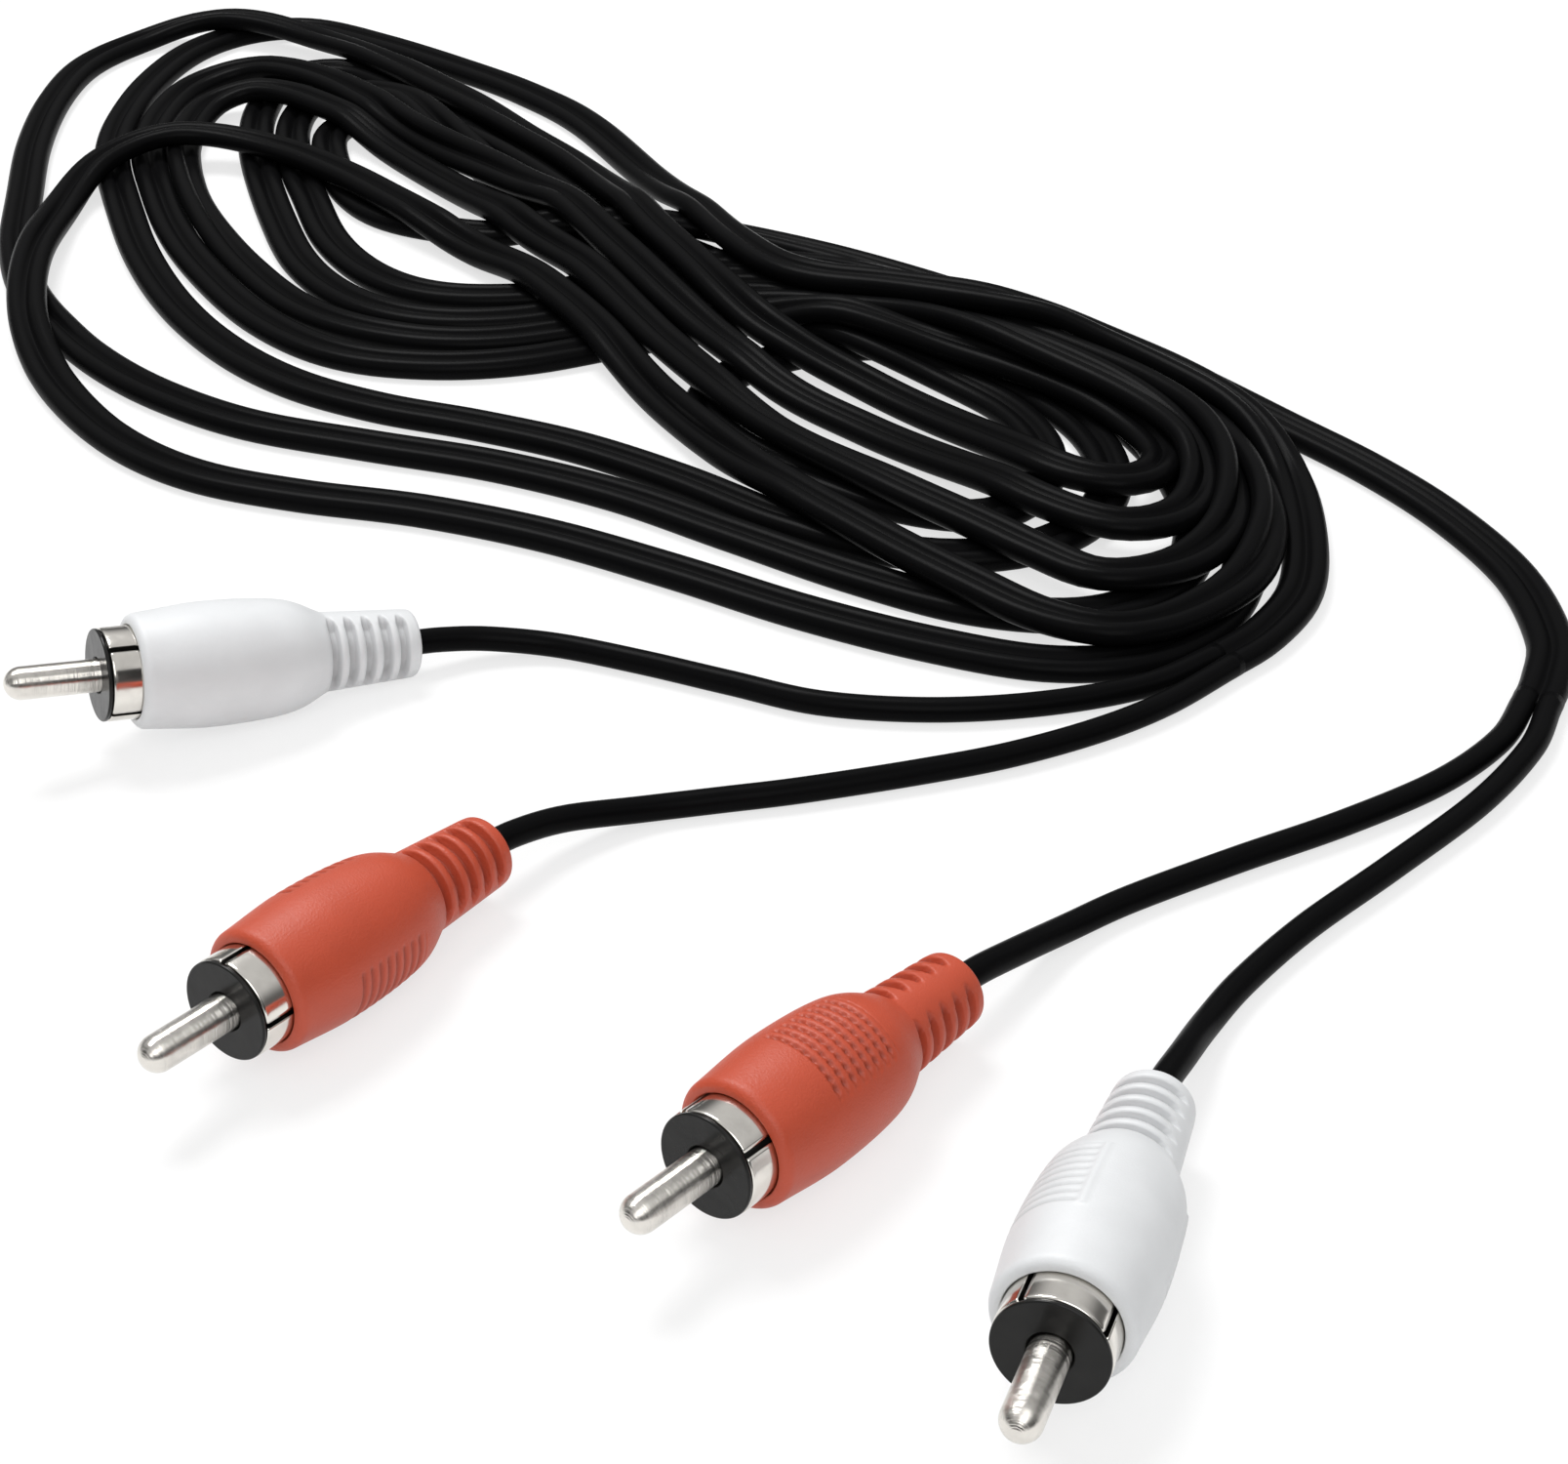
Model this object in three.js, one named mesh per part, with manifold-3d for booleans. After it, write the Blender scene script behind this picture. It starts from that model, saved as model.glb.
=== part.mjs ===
// Stereo audio cable: a black flat twin cable bunched in a long hank, split into
// two single leads at each end, with a moulded phono plug on each lead.
// Millimetres, +Z up. The plugs and the cable lie on the plane z = 0.

import * as THREE from 'three';
import { mergeVertices } from 'three/addons/utils/BufferGeometryUtils.js';
import Module from 'manifold-3d';

const wasm = await Module();
wasm.setup();

// Clearance kept between neighbouring pieces
const CLEARANCE = 0.3;

// Centre pin, measured from the front face of the insulator
const PIN_RADIUS = 1.6;
const PIN_REACH = 8.8;
const PIN_SHANK_DEPTH = 6.2;
const PIN_TAIL_RADIUS = 0.9;
const PIN_TAIL_LENGTH = 3.2;
const PIN_CUP_RADIUS = 0.6;
const PIN_CUP_DEPTH = 2;

// Insulator
const FLANGE_THICKNESS = 0.3;
const FLANGE_EDGE = 0.15;
const FLANGE_INSET = 0.05;
const INSULATOR_DEPTH = 5.4;

// Outer contact ring
const RING_RADIUS = 4.5;
const RING_WALL = 0.4;
const RING_BEVEL = 0.22;
const RING_LENGTH = 6;
const RING_WEB = 0.6;
const RING_SLOTS = 4;
const RING_SLOT_WIDTH = 0.5;
const RING_SLOT_LENGTH = 4;
const LUG_WIDTH = 2.2;
const LUG_THICKNESS = 0.5;
const LUG_LENGTH = 4.6;
const LUG_OFFSET = 2.5;

// Moulded body: barrel, shoulder and strain relief in one moulding
const BODY_FRONT = 3.2;
const LIP_RADIUS = 5.6;
const LIP_ROUND = 0.7;
const BARREL_RADIUS = 6.1;
const BARREL_WIDEST = 10.8;
const BARREL_END = 18.2;
const BARREL_END_RADIUS = 5.6;
const SHOULDER_END = 22.3;
const RELIEF_RADIUS = 3.95;
const RELIEF_END_RADIUS = 3.4;
const RELIEF_LENGTH = 9.3;
const RELIEF_ROUND = 0.5;
const RELIEF_ROUND_MIDDLE = 0.15;

// Relief slots
const SLOT_COUNT = 5;
const SLOT_WIDTH = 0.9;
const SLOT_PITCH = 1.6;
const SLOT_START = 23;
const SLOT_FLOOR = 2.5;

// Grip grooves
const GROOVE_COUNT = 8;
const GROOVE_START = 10.2;
const GROOVE_PITCH = 1;
const GROOVE_WIDTH = 0.6;
const GROOVE_DEPTH = 0.8;

// Inner mould and the end of the lead inside it
const INNER_MOULD_RADIUS = 3.8;
const INNER_MOULD_LENGTH = 9;
const CORE_RADIUS = 0.5;
const CONDUCTOR_RADIUS = 0.28;
const STRIP_LENGTH = 2.6;
const CORE_LENGTH = 3;
const PIGTAIL_RADIUS = 0.3;
const PIGTAIL_GAP = 0.1;

// Cable
const LEAD_RADIUS = 1.25;
const LEAD_STRAIGHT = 3;
const TWIN_WIDTH = 5;
const TWIN_ROUND = 0.75;
const HANK_HEIGHT = 10;
const HANK_ROUND = 2;

// Facets around each kind of round piece
const BODY_FACETS = 24;
const RING_FACETS = 24;
const PIN_FACETS = 14;
const INNER_FACETS = 8;
const LEAD_FACETS = 8;

// Steps along each kind of curve
const NOSE_STEPS = 4;
const LIP_STEPS = 3;
const BARREL_STEPS = 9;
const CABLE_STEPS = 12;
const HANK_STEPS = 36;
const HANK_ROUND_STEPS = 2;

// Where the front of each plug's insulator lies
const END_A_LEFT_X = -44.8;
const END_A_LEFT_Y = 39.1;
const END_A_RIGHT_X = -24.9;
const END_A_RIGHT_Y = -9.6;
const END_B_RIGHT_X = 14.3;
const END_B_RIGHT_Y = -28.1;
const END_B_LEFT_X = 38.8;
const END_B_LEFT_Y = -47.6;

// Each plug: heading from the pin towards the lead, tilt of the pin upwards as the
// plug rests on the back of its barrel, and roll of its grip pads about its axis
const PLUGS = [
  { name: 'end_a_left', colour: 'white', x: END_A_LEFT_X, y: END_A_LEFT_Y, heading: 26.5, tilt: 9, roll: -14 },
  { name: 'end_a_right', colour: 'red', x: END_A_RIGHT_X, y: END_A_RIGHT_Y, heading: 53.5, tilt: 4, roll: -49 },
  { name: 'end_b_right', colour: 'red', x: END_B_RIGHT_X, y: END_B_RIGHT_Y, heading: 50.6, tilt: 4, roll: 8 },
  { name: 'end_b_left', colour: 'white', x: END_B_LEFT_X, y: END_B_LEFT_Y, heading: 70.1, tilt: 5, roll: 101 },
];

// Lead routes after each plug: x, y, height of the lead's centre
const LEAD_ROUTES = {
  end_a_left: [
    [-9.5, 55.8, 2.2], [-2.5, 55.8, 1.4], [6, 52.8, 1.3], [15, 48.9, 1.3], [24, 45.2, 1.3],
    [35, 44, 1.3], [46, 45.2, 1.3], [56, 48.2, 1.3], [60.9, 51, 1.3],
  ],
  end_a_right: [
    [0.2, 22.8, 3.2], [7, 26.6, 1.6], [14.5, 28.6, 1.3], [22, 30.2, 1.3], [33, 33.2, 1.3],
    [42, 36.2, 1.3], [51, 40.6, 1.3], [58, 45.4, 1.3], [64.4, 50.4, 1.3],
  ],
  end_b_right: [
    [40, 3, 3.3], [45, 8.5, 1.7], [51, 13.2, 1.3], [61, 19, 1.3], [72, 25, 1.3],
    [82, 31.6, 1.3], [89.4, 39.2, 1.3], [92.2, 44.6, 1.3],
  ],
  end_b_left: [
    [52.6, -10.8, 3.3], [55.5, -4.6, 1.7], [59.5, 1.6, 1.3], [66, 9.2, 1.3], [75, 18, 1.3],
    [85, 28.2, 1.3], [92.4, 37.6, 1.3], [94.9, 43.6, 1.3],
  ],
};

// Twin cable from the hank to the split of end b: x, y at mid thickness
const TWIN_ROUTE = [
  [68, 115.8], [77, 106.1], [86, 95.2], [92.8, 83], [97.2, 69.6], [97.9, 57], [95.8, 49.2], [93.7, 44.5],
];

// Outline of the hank seen from above
const HANK_OUTLINE = [
  [-81, 194.6], [-75, 219.6], [-63, 240.1], [-48, 238.6], [-30, 220.6], [-9, 191.6], [13, 159.1],
  [37, 139.6], [58.5, 119.6], [72, 99.6], [74.8, 83.6], [72.4, 66.1], [65.4, 54.8], [51, 55.2], [31, 60.1],
  [7, 74.6], [-23, 85.6], [-46, 91.1], [-63, 105.6], [-73, 136.6], [-78, 163.6],
];

const MATERIALS = {
  white: new THREE.MeshStandardMaterial({ color: 0xdcdcda, roughness: 0.45, metalness: 0 }),
  red: new THREE.MeshStandardMaterial({ color: 0xc4543c, roughness: 0.5, metalness: 0 }),
  nickel: new THREE.MeshStandardMaterial({ color: 0xd6d2c8, roughness: 0.18, metalness: 1 }),
  black: new THREE.MeshStandardMaterial({ color: 0x1d1b1a, roughness: 0.4, metalness: 0 }),
  cable: new THREE.MeshStandardMaterial({ color: 0x17171a, roughness: 0.42, metalness: 0 }),
  copper: new THREE.MeshStandardMaterial({ color: 0xb87333, roughness: 0.35, metalness: 1 }),
  natural: new THREE.MeshStandardMaterial({ color: 0xe6e2d6, roughness: 0.6, metalness: 0 }),
};

const cable = new THREE.Group();

// Closed mesh as a solid for cutting and joining
function solidOf(geometry) {
  const bare = geometry.clone();
  bare.deleteAttribute('normal');
  bare.deleteAttribute('uv');
  const merged = mergeVertices(bare, 1e-4);
  const vertProperties = new Float32Array(merged.attributes.position.array);
  const triVerts = new Uint32Array(merged.index.array);
  return new wasm.Manifold(new wasm.Mesh({ numProp: 3, vertProperties, triVerts }));
}

function geometryOf(solid) {
  const mesh = solid.getMesh();
  const geometry = new THREE.BufferGeometry();
  geometry.setAttribute('position', new THREE.BufferAttribute(mesh.vertProperties, 3));
  geometry.setIndex(new THREE.BufferAttribute(mesh.triVerts, 1));
  geometry.computeVertexNormals();
  return geometry;
}

// Solid of revolution about Y from [radius, depth] pairs that run up the outside
function turned(profile, facets) {
  const points = profile.map(([radius, depth]) => new THREE.Vector2(radius, depth));
  return new THREE.LatheGeometry(points, facets);
}

// Outer line of the barrel and shoulder, from the front lip to the relief
function barrelLine() {
  const line = new THREE.Path();
  line.moveTo(LIP_RADIUS - LIP_ROUND, BODY_FRONT);
  line.quadraticCurveTo(LIP_RADIUS, BODY_FRONT, LIP_RADIUS, BODY_FRONT + LIP_ROUND);
  const front = line.getPoints(LIP_STEPS);
  const back = new THREE.SplineCurve([
    new THREE.Vector2(LIP_RADIUS, BODY_FRONT + LIP_ROUND),
    new THREE.Vector2(BARREL_RADIUS, BARREL_WIDEST),
    new THREE.Vector2(BARREL_END_RADIUS, BARREL_END),
    new THREE.Vector2(RELIEF_RADIUS, SHOULDER_END),
  ]).getPoints(BARREL_STEPS);
  return front.concat(back.slice(1));
}

function radiusAt(line, depth) {
  const upper = line.findIndex((point) => point.y >= depth);
  const [before, after] = [line[upper - 1], line[upper]];
  const share = (depth - before.y) / (after.y - before.y);
  return before.x + (after.x - before.x) * share;
}

// The solid on one side of the plug joined with its copy on the other side
function bothSides(solid) {
  return solid.add(solid.rotate([0, 180, 0]));
}

// Straight V groove across the barrel where it faces +Z
function gripGroove(surface, depth) {
  const top = surface + GROOVE_DEPTH;
  const shape = new THREE.Shape();
  shape.moveTo(depth, surface - GROOVE_DEPTH);
  shape.lineTo(depth + GROOVE_WIDTH, top);
  shape.lineTo(depth - GROOVE_WIDTH, top);
  const bar = new THREE.ExtrudeGeometry(shape, { depth: 2 * BARREL_RADIUS, bevelEnabled: false });
  bar.translate(0, 0, -BARREL_RADIUS);
  const alongY = new THREE.Vector3(0, 1, 0);
  const alongZ = new THREE.Vector3(0, 0, 1);
  const alongX = new THREE.Vector3(1, 0, 0);
  bar.applyMatrix4(new THREE.Matrix4().makeBasis(alongY, alongZ, alongX));
  return solidOf(bar);
}

function gripGrooves(line) {
  const grooves = [];
  for (let i = 0; i < GROOVE_COUNT; i += 1) {
    const depth = GROOVE_START + i * GROOVE_PITCH;
    grooves.push(gripGroove(radiusAt(line, depth), depth));
  }
  return bothSides(wasm.Manifold.union(grooves));
}

// Slots that face +X and -X and leave a rib along the top and the bottom
function reliefSlots() {
  const slots = [];
  for (let i = 0; i < SLOT_COUNT; i += 1) {
    const slot = new THREE.BoxGeometry(RELIEF_RADIUS, SLOT_WIDTH, 2 * RELIEF_RADIUS);
    slot.translate(SLOT_FLOOR + RELIEF_RADIUS / 2, SLOT_START + (i + 0.5) * SLOT_PITCH, 0);
    slots.push(solidOf(slot));
  }
  return bothSides(wasm.Manifold.union(slots));
}

// Stations along the plug that several pieces share
const ringFront = FLANGE_THICKNESS + 0.5 * CLEARANCE;
const ringEnd = ringFront + RING_LENGTH;
const webEnd = ringEnd + RING_WEB;
const pinTailEnd = PIN_SHANK_DEPTH + PIN_TAIL_LENGTH;
const innerMouldStart = webEnd + CLEARANCE;
const innerMouldEnd = innerMouldStart + INNER_MOULD_LENGTH;
const coreStart = pinTailEnd + STRIP_LENGTH;
const coreEnd = coreStart + CORE_LENGTH;
const bodyEnd = SHOULDER_END + RELIEF_LENGTH;
const leadBore = LEAD_RADIUS + CLEARANCE;

function mouldedBody() {
  const line = barrelLine();
  const ringBore = RING_RADIUS + CLEARANCE;
  const mouldBore = INNER_MOULD_RADIUS + CLEARANCE;
  const profile = [
    [ringBore, BODY_FRONT],
    ...line.map((point) => [point.x, point.y]),
    [RELIEF_END_RADIUS, bodyEnd - RELIEF_ROUND],
    [RELIEF_END_RADIUS - RELIEF_ROUND_MIDDLE, bodyEnd - RELIEF_ROUND_MIDDLE],
    [RELIEF_END_RADIUS - RELIEF_ROUND, bodyEnd],
    [leadBore, bodyEnd],
    [leadBore, innerMouldEnd + CLEARANCE],
    [mouldBore, innerMouldEnd + CLEARANCE],
    [mouldBore, webEnd + CLEARANCE],
    [ringBore, webEnd + CLEARANCE],
    [ringBore, BODY_FRONT],
  ];
  const shell = solidOf(turned(profile, BODY_FACETS));
  return geometryOf(shell.subtract(gripGrooves(line)).subtract(reliefSlots()));
}

function centrePin() {
  const nose = [];
  const noseCentre = -PIN_REACH + PIN_RADIUS;
  for (let i = 0; i <= NOSE_STEPS; i += 1) {
    const angle = (i / NOSE_STEPS) * (Math.PI / 2);
    nose.push([PIN_RADIUS * Math.sin(angle), noseCentre - PIN_RADIUS * Math.cos(angle)]);
  }
  nose[0][0] = 0;
  return turned([
    ...nose,
    [PIN_RADIUS, PIN_SHANK_DEPTH],
    [PIN_TAIL_RADIUS, PIN_SHANK_DEPTH],
    [PIN_TAIL_RADIUS, pinTailEnd],
    [PIN_CUP_RADIUS, pinTailEnd],
    [PIN_CUP_RADIUS, pinTailEnd - PIN_CUP_DEPTH],
    [0, pinTailEnd - PIN_CUP_DEPTH],
  ], PIN_FACETS);
}

function insulator() {
  const flangeRadius = RING_RADIUS - FLANGE_INSET;
  const bossRadius = RING_RADIUS - RING_WALL - CLEARANCE;
  const bore = PIN_RADIUS + CLEARANCE / 2;
  return turned([
    [bore, 0],
    [flangeRadius - FLANGE_EDGE, 0],
    [flangeRadius, FLANGE_EDGE],
    [flangeRadius, FLANGE_THICKNESS],
    [bossRadius, FLANGE_THICKNESS],
    [bossRadius, INSULATOR_DEPTH],
    [bore, INSULATOR_DEPTH],
    [bore, 0],
  ], RING_FACETS);
}

function contactRing() {
  const inner = RING_RADIUS - RING_WALL;
  const webBore = PIN_TAIL_RADIUS + 2 * CLEARANCE;
  const profile = [
    [inner, ringFront],
    [RING_RADIUS - RING_BEVEL, ringFront],
    [RING_RADIUS, ringFront + RING_BEVEL],
    [RING_RADIUS, webEnd],
    [webBore, webEnd],
    [webBore, ringEnd],
    [inner, ringEnd],
    [inner, ringFront],
  ];
  const lug = new THREE.BoxGeometry(LUG_WIDTH, LUG_LENGTH + RING_WEB / 2, LUG_THICKNESS);
  lug.translate(0, webEnd + LUG_LENGTH / 2 - RING_WEB / 4, LUG_OFFSET);
  let ring = solidOf(turned(profile, RING_FACETS)).add(solidOf(lug));
  for (let i = 0; i < RING_SLOTS; i += 1) {
    const slot = new THREE.BoxGeometry(RING_SLOT_WIDTH, 2 * RING_SLOT_LENGTH, RING_RADIUS);
    slot.translate(0, ringFront, RING_RADIUS);
    slot.rotateY((i + 0.5) * (2 * Math.PI / RING_SLOTS));
    ring = ring.subtract(solidOf(slot));
  }
  return geometryOf(ring);
}

function innerMould() {
  const tailBore = PIN_TAIL_RADIUS + CLEARANCE;
  const block = solidOf(turned([
    [tailBore, innerMouldStart],
    [INNER_MOULD_RADIUS, innerMouldStart],
    [INNER_MOULD_RADIUS, innerMouldEnd],
    [leadBore, innerMouldEnd],
    [leadBore, coreEnd],
    [tailBore, coreEnd],
    [tailBore, innerMouldStart],
  ], 2 * INNER_FACETS));
  const lugSpace = new THREE.BoxGeometry(
    LUG_WIDTH + 2 * CLEARANCE,
    2 * (LUG_LENGTH + CLEARANCE),
    LUG_THICKNESS + 2 * CLEARANCE + 2 * PIGTAIL_RADIUS,
  );
  lugSpace.translate(0, webEnd, LUG_OFFSET - PIGTAIL_RADIUS);
  return geometryOf(block.subtract(solidOf(lugSpace)));
}

// Rod of the given radius along the plug's axis, shifted up by height
function rod(radius, start, end, height) {
  const geometry = new THREE.CylinderGeometry(radius, radius, end - start, INNER_FACETS);
  geometry.translate(0, (start + end) / 2, height);
  return geometry;
}

const pigtailHeight = LUG_OFFSET - LUG_THICKNESS / 2 - PIGTAIL_RADIUS - PIGTAIL_GAP;
const plugPieces = [
  { name: 'moulded_body', make: mouldedBody, material: null },
  { name: 'centre_pin', make: centrePin, material: 'nickel' },
  { name: 'insulator', make: insulator, material: 'black' },
  { name: 'contact_ring', make: contactRing, material: 'nickel' },
  { name: 'inner_mould', make: innerMould, material: 'natural' },
  {
    name: 'conductor',
    make: () => rod(CONDUCTOR_RADIUS, pinTailEnd - PIN_CUP_DEPTH + CLEARANCE, coreStart - CLEARANCE, 0),
    material: 'copper',
  },
  { name: 'core_insulation', make: () => rod(CORE_RADIUS, coreStart, coreEnd, 0), material: 'natural' },
  {
    name: 'screen_pigtail',
    make: () => rod(PIGTAIL_RADIUS, webEnd + CLEARANCE, webEnd + LUG_LENGTH, pigtailHeight),
    material: 'copper',
  },
  {
    name: 'lead_end',
    make: () => rod(LEAD_RADIUS, coreEnd + CLEARANCE, bodyEnd, 0),
    material: 'cable',
  },
];

const templates = plugPieces.map((piece) => ({ ...piece, geometry: piece.make() }));

// Turn of a plug about its axis, then its tilt, then its heading
function plugTurn({ heading, tilt, roll }) {
  const [spin, lift, swing] = [roll, -tilt, heading - 90].map(THREE.MathUtils.degToRad);
  return new THREE.Euler(lift, spin, swing, 'ZXY');
}

// Height of the front of a plug's axis when its moulding rests on the plane
function restingHeight(bodyGeometry, turn) {
  const turnedBody = bodyGeometry.clone().applyMatrix4(new THREE.Matrix4().makeRotationFromEuler(turn));
  turnedBody.computeBoundingBox();
  return -turnedBody.boundingBox.min.z;
}

function addPlug(plug) {
  const place = new THREE.Group();
  place.rotation.copy(plugTurn(plug));
  place.position.set(plug.x, plug.y, restingHeight(templates[0].geometry, place.rotation));
  for (const piece of templates) {
    const mesh = new THREE.Mesh(piece.geometry, MATERIALS[piece.material ?? plug.colour]);
    mesh.name = `${plug.name}_${piece.name}`;
    place.add(mesh);
  }
  cable.add(place);
  return place;
}

function addTube(name, points, section) {
  const route = new THREE.CatmullRomCurve3(points, false, 'centripetal');
  const geometry = new THREE.ExtrudeGeometry(section, { steps: CABLE_STEPS, extrudePath: route });
  const mesh = new THREE.Mesh(geometry, MATERIALS.cable);
  mesh.name = name;
  cable.add(mesh);
}

function roundSection() {
  const shape = new THREE.Shape();
  for (let i = 0; i < LEAD_FACETS; i += 1) {
    const angle = (2 * Math.PI * (i + 0.5)) / LEAD_FACETS;
    const corner = [LEAD_RADIUS * Math.cos(angle), LEAD_RADIUS * Math.sin(angle)];
    if (i === 0) shape.moveTo(...corner);
    else shape.lineTo(...corner);
  }
  return shape;
}

// Flat section of the twin cable: its width lies across the route, on the plane
function flatSection() {
  const half = TWIN_WIDTH / 2;
  const shape = new THREE.Shape();
  const edge = LEAD_RADIUS - TWIN_ROUND;
  shape.moveTo(-LEAD_RADIUS, TWIN_ROUND - half);
  shape.lineTo(-edge, -half);
  shape.lineTo(edge, -half);
  shape.lineTo(LEAD_RADIUS, TWIN_ROUND - half);
  shape.lineTo(LEAD_RADIUS, half - TWIN_ROUND);
  shape.lineTo(edge, half);
  shape.lineTo(-edge, half);
  shape.lineTo(-LEAD_RADIUS, half - TWIN_ROUND);
  return shape;
}

function addLead(name, place) {
  const along = new THREE.Vector3(0, 1, 0).applyEuler(place.rotation);
  const exit = place.position.clone().addScaledVector(along, bodyEnd + CLEARANCE);
  const straight = exit.clone().addScaledVector(along, LEAD_STRAIGHT);
  const route = LEAD_ROUTES[name].map(([x, y, z]) => new THREE.Vector3(x, y, z));
  addTube(`${name}_lead`, [exit, straight, ...route], roundSection());
}

function addTwin() {
  const points = TWIN_ROUTE.map(([x, y]) => new THREE.Vector3(x, y, LEAD_RADIUS));
  addTube('end_b_twin_cable', points, flatSection());
}

function addHank() {
  const outline = HANK_OUTLINE.map(([x, y]) => new THREE.Vector3(x, y, 0));
  const curve = new THREE.CatmullRomCurve3(outline, true, 'centripetal');
  const points = curve.getPoints(HANK_STEPS).slice(0, -1).map((point) => new THREE.Vector2(point.x, point.y));
  const geometry = new THREE.ExtrudeGeometry(new THREE.Shape(points), {
    depth: HANK_HEIGHT - 2 * HANK_ROUND,
    bevelThickness: HANK_ROUND,
    bevelSize: HANK_ROUND,
    bevelSegments: HANK_ROUND_STEPS,
  });
  geometry.translate(0, 0, HANK_ROUND);
  const mesh = new THREE.Mesh(geometry, MATERIALS.cable);
  mesh.name = 'cable_hank';
  cable.add(mesh);
}

for (const plug of PLUGS) {
  addLead(plug.name, addPlug(plug));
}
addTwin();
addHank();

export default cable;
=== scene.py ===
"""Stereo audio cable in a long hank, with a moulded phono plug on each of its four leads.

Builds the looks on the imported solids: the settled twin cable, the leads, the plugs' mouldings
and metal, their materials, the studio and the camera. Metres, in the same frame as the solids.
"""

import math
from collections import namedtuple

import bpy
import numpy as np
from bpy.props import FloatProperty, FloatVectorProperty, PointerProperty
from mathutils import Matrix, Vector


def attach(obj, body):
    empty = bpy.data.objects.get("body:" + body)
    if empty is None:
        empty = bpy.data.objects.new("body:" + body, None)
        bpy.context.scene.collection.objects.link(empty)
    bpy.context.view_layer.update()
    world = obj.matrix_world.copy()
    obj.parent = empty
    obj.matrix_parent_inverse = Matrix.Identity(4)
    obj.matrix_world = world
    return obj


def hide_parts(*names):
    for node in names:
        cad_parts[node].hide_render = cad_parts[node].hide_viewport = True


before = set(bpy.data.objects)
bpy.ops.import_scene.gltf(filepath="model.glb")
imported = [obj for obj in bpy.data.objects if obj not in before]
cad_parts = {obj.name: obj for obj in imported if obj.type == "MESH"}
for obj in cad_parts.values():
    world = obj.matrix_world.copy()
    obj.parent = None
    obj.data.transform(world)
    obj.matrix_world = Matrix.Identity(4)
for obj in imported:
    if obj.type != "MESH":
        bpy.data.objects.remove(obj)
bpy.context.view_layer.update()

bl_info = {
    "name": "Stereo audio cable",
    "version": (1, 0, 0),
    "blender": (4, 2, 0),
    "location": "3D View > Sidebar > Audio Cable",
    "description": "Builds a hanked twin audio cable with four moulded phono plugs",
    "category": "Object",
}

MM = 0.001

# Camera, fitted to the photograph: its place and lens in millimetres, its pitch in degrees
EYE = Vector((20.3, -189.8, 152.7))
CAMERA_PITCH = 33.37
CAMERA_LENS = 65.55
SENSOR_WIDTH = 36
NEAREST_SEEN = 0.01

# Plug, in millimetres from the front face of the insulator, as the solids have it
CLEARANCE = 0.3
PIN_RADIUS = 1.6
PIN_REACH = 8.8
PIN_STRAIGHT = 3
PIN_SHANK_DEPTH = 6.2
FLANGE_THICKNESS = 0.3
FLANGE_EDGE = 0.15
FLANGE_RADIUS = 4.45
INSULATOR_DEPTH = 5.4
BOSS_RADIUS = 3.8
RING_RADIUS = 4.5
RING_WALL = 0.4
RING_BEVEL = 0.22
RING_FRONT = 0.45
RING_SLOT_END = 4.45
RING_END = 6.45
RING_SLOTS = 4
RING_SLOT_WIDTH = 0.5
BODY_FRONT = 3.2
LIP_RADIUS = 5.6
RELIEF_START = 22.3
RELIEF_RADIUS = 3.95
RELIEF_END_RADIUS = 3.4
BODY_END = 31.6
RELIEF_ROUND = 0.5
MOULD_BORE = 4.1
LEAD_BORE = 1.55
MOULD_BORE_START = 7.35
MOULD_BORE_END = 16.65

# Barrel and shoulder: depth, radius
BARREL = [(4.1, 5.6), (10.8, 6.1), (18.2, 5.6), (22.3, 3.95)]

# Edges and slots of the moulding, a little closer to the photograph than the solids have them
LIP_ROUND = 0.9
RING_BORE = 4.56
SLOT_COUNT = 5
SLOT_WIDTH = 0.9
SLOT_PITCH = 1.8
SLOT_START = 21.65
SLOT_DEPTH = 0.95
SLOT_WALL = 0.1
SLOT_RINGS = 12
SLOT_NARROWEST = 0.4
RIB_HALF_ANGLE = 14
RIB_RAMP = 26

# Grip pads
GRIP_START = 9.5
GRIP_END = 17.9
GRIP_PITCH = 1
GRIP_HALF_ANGLE = 42
GRIP_RAMP = 5
GRIP_DEPTH = 0.2
GRIP_FADE = 0.2
GRIP_STEP = 0.09
HATCH_TURNS = 40
BAR_ANGLE = 6
BAR_HEIGHT = 0.16

# Broken edges, facets round each kind of turned piece, and steps along the moulding
CHAMFER = 0.1
RING_SHOULDER = 0.5
CORNER = 0.05
BODY_FACETS = 160
METAL_FACETS = 96
OUTLINE_STEP = 0.05
BARREL_STEP = 0.5
SHOULDER_STEP = 0.2

# Each plug: its colour, the place of its front face, its heading, tilt and roll, how far its relief
# slots and grip pads are turned about its axis from upright, all in degrees, and the shares of the
# grip's depth, of its cross hatching and of its edge bars
Plug = namedtuple("Plug", "colour front heading tilt roll slot_turn grip_turn grip hatching bars")
PLUGS = {
    "end_a_left": Plug("white", (-44.8, 39.1, 8.377), 26.5, 9, -14, -14, -14, 0, 0, 0),
    "end_a_right": Plug("red", (-24.9, -9.6, 6.973), 53.5, 4, -49, -49, -60, 1.2, 0, 0),
    "end_b_right": Plug("red", (14.3, -28.1, 6.944), 50.6, 4, 8, 26, 16, 1.9, 0.7, 0),
    "end_b_left": Plug("white", (38.8, -47.6, 7.243), 70.1, 5, 101, 75, 128, 0.8, 0, 1),
}

# Cable: the leads are a hair thicker than the lobes that they run into
LOBE_RADIUS = 1.25
LEAD_RADIUS = 1.27
LOBE_SPACING = 2.5
WEB_HALF = 0.5
LOBE_STEPS = 12
LEAD_SIDES = 24
LEAD_STRAIGHT = 3
CABLE_STEP = 1.6
LEAD_STEP = 1
SPLINE_STEPS = 24
STREAKS_AROUND = 0.9
STREAKS_ALONG = 0.04

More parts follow.
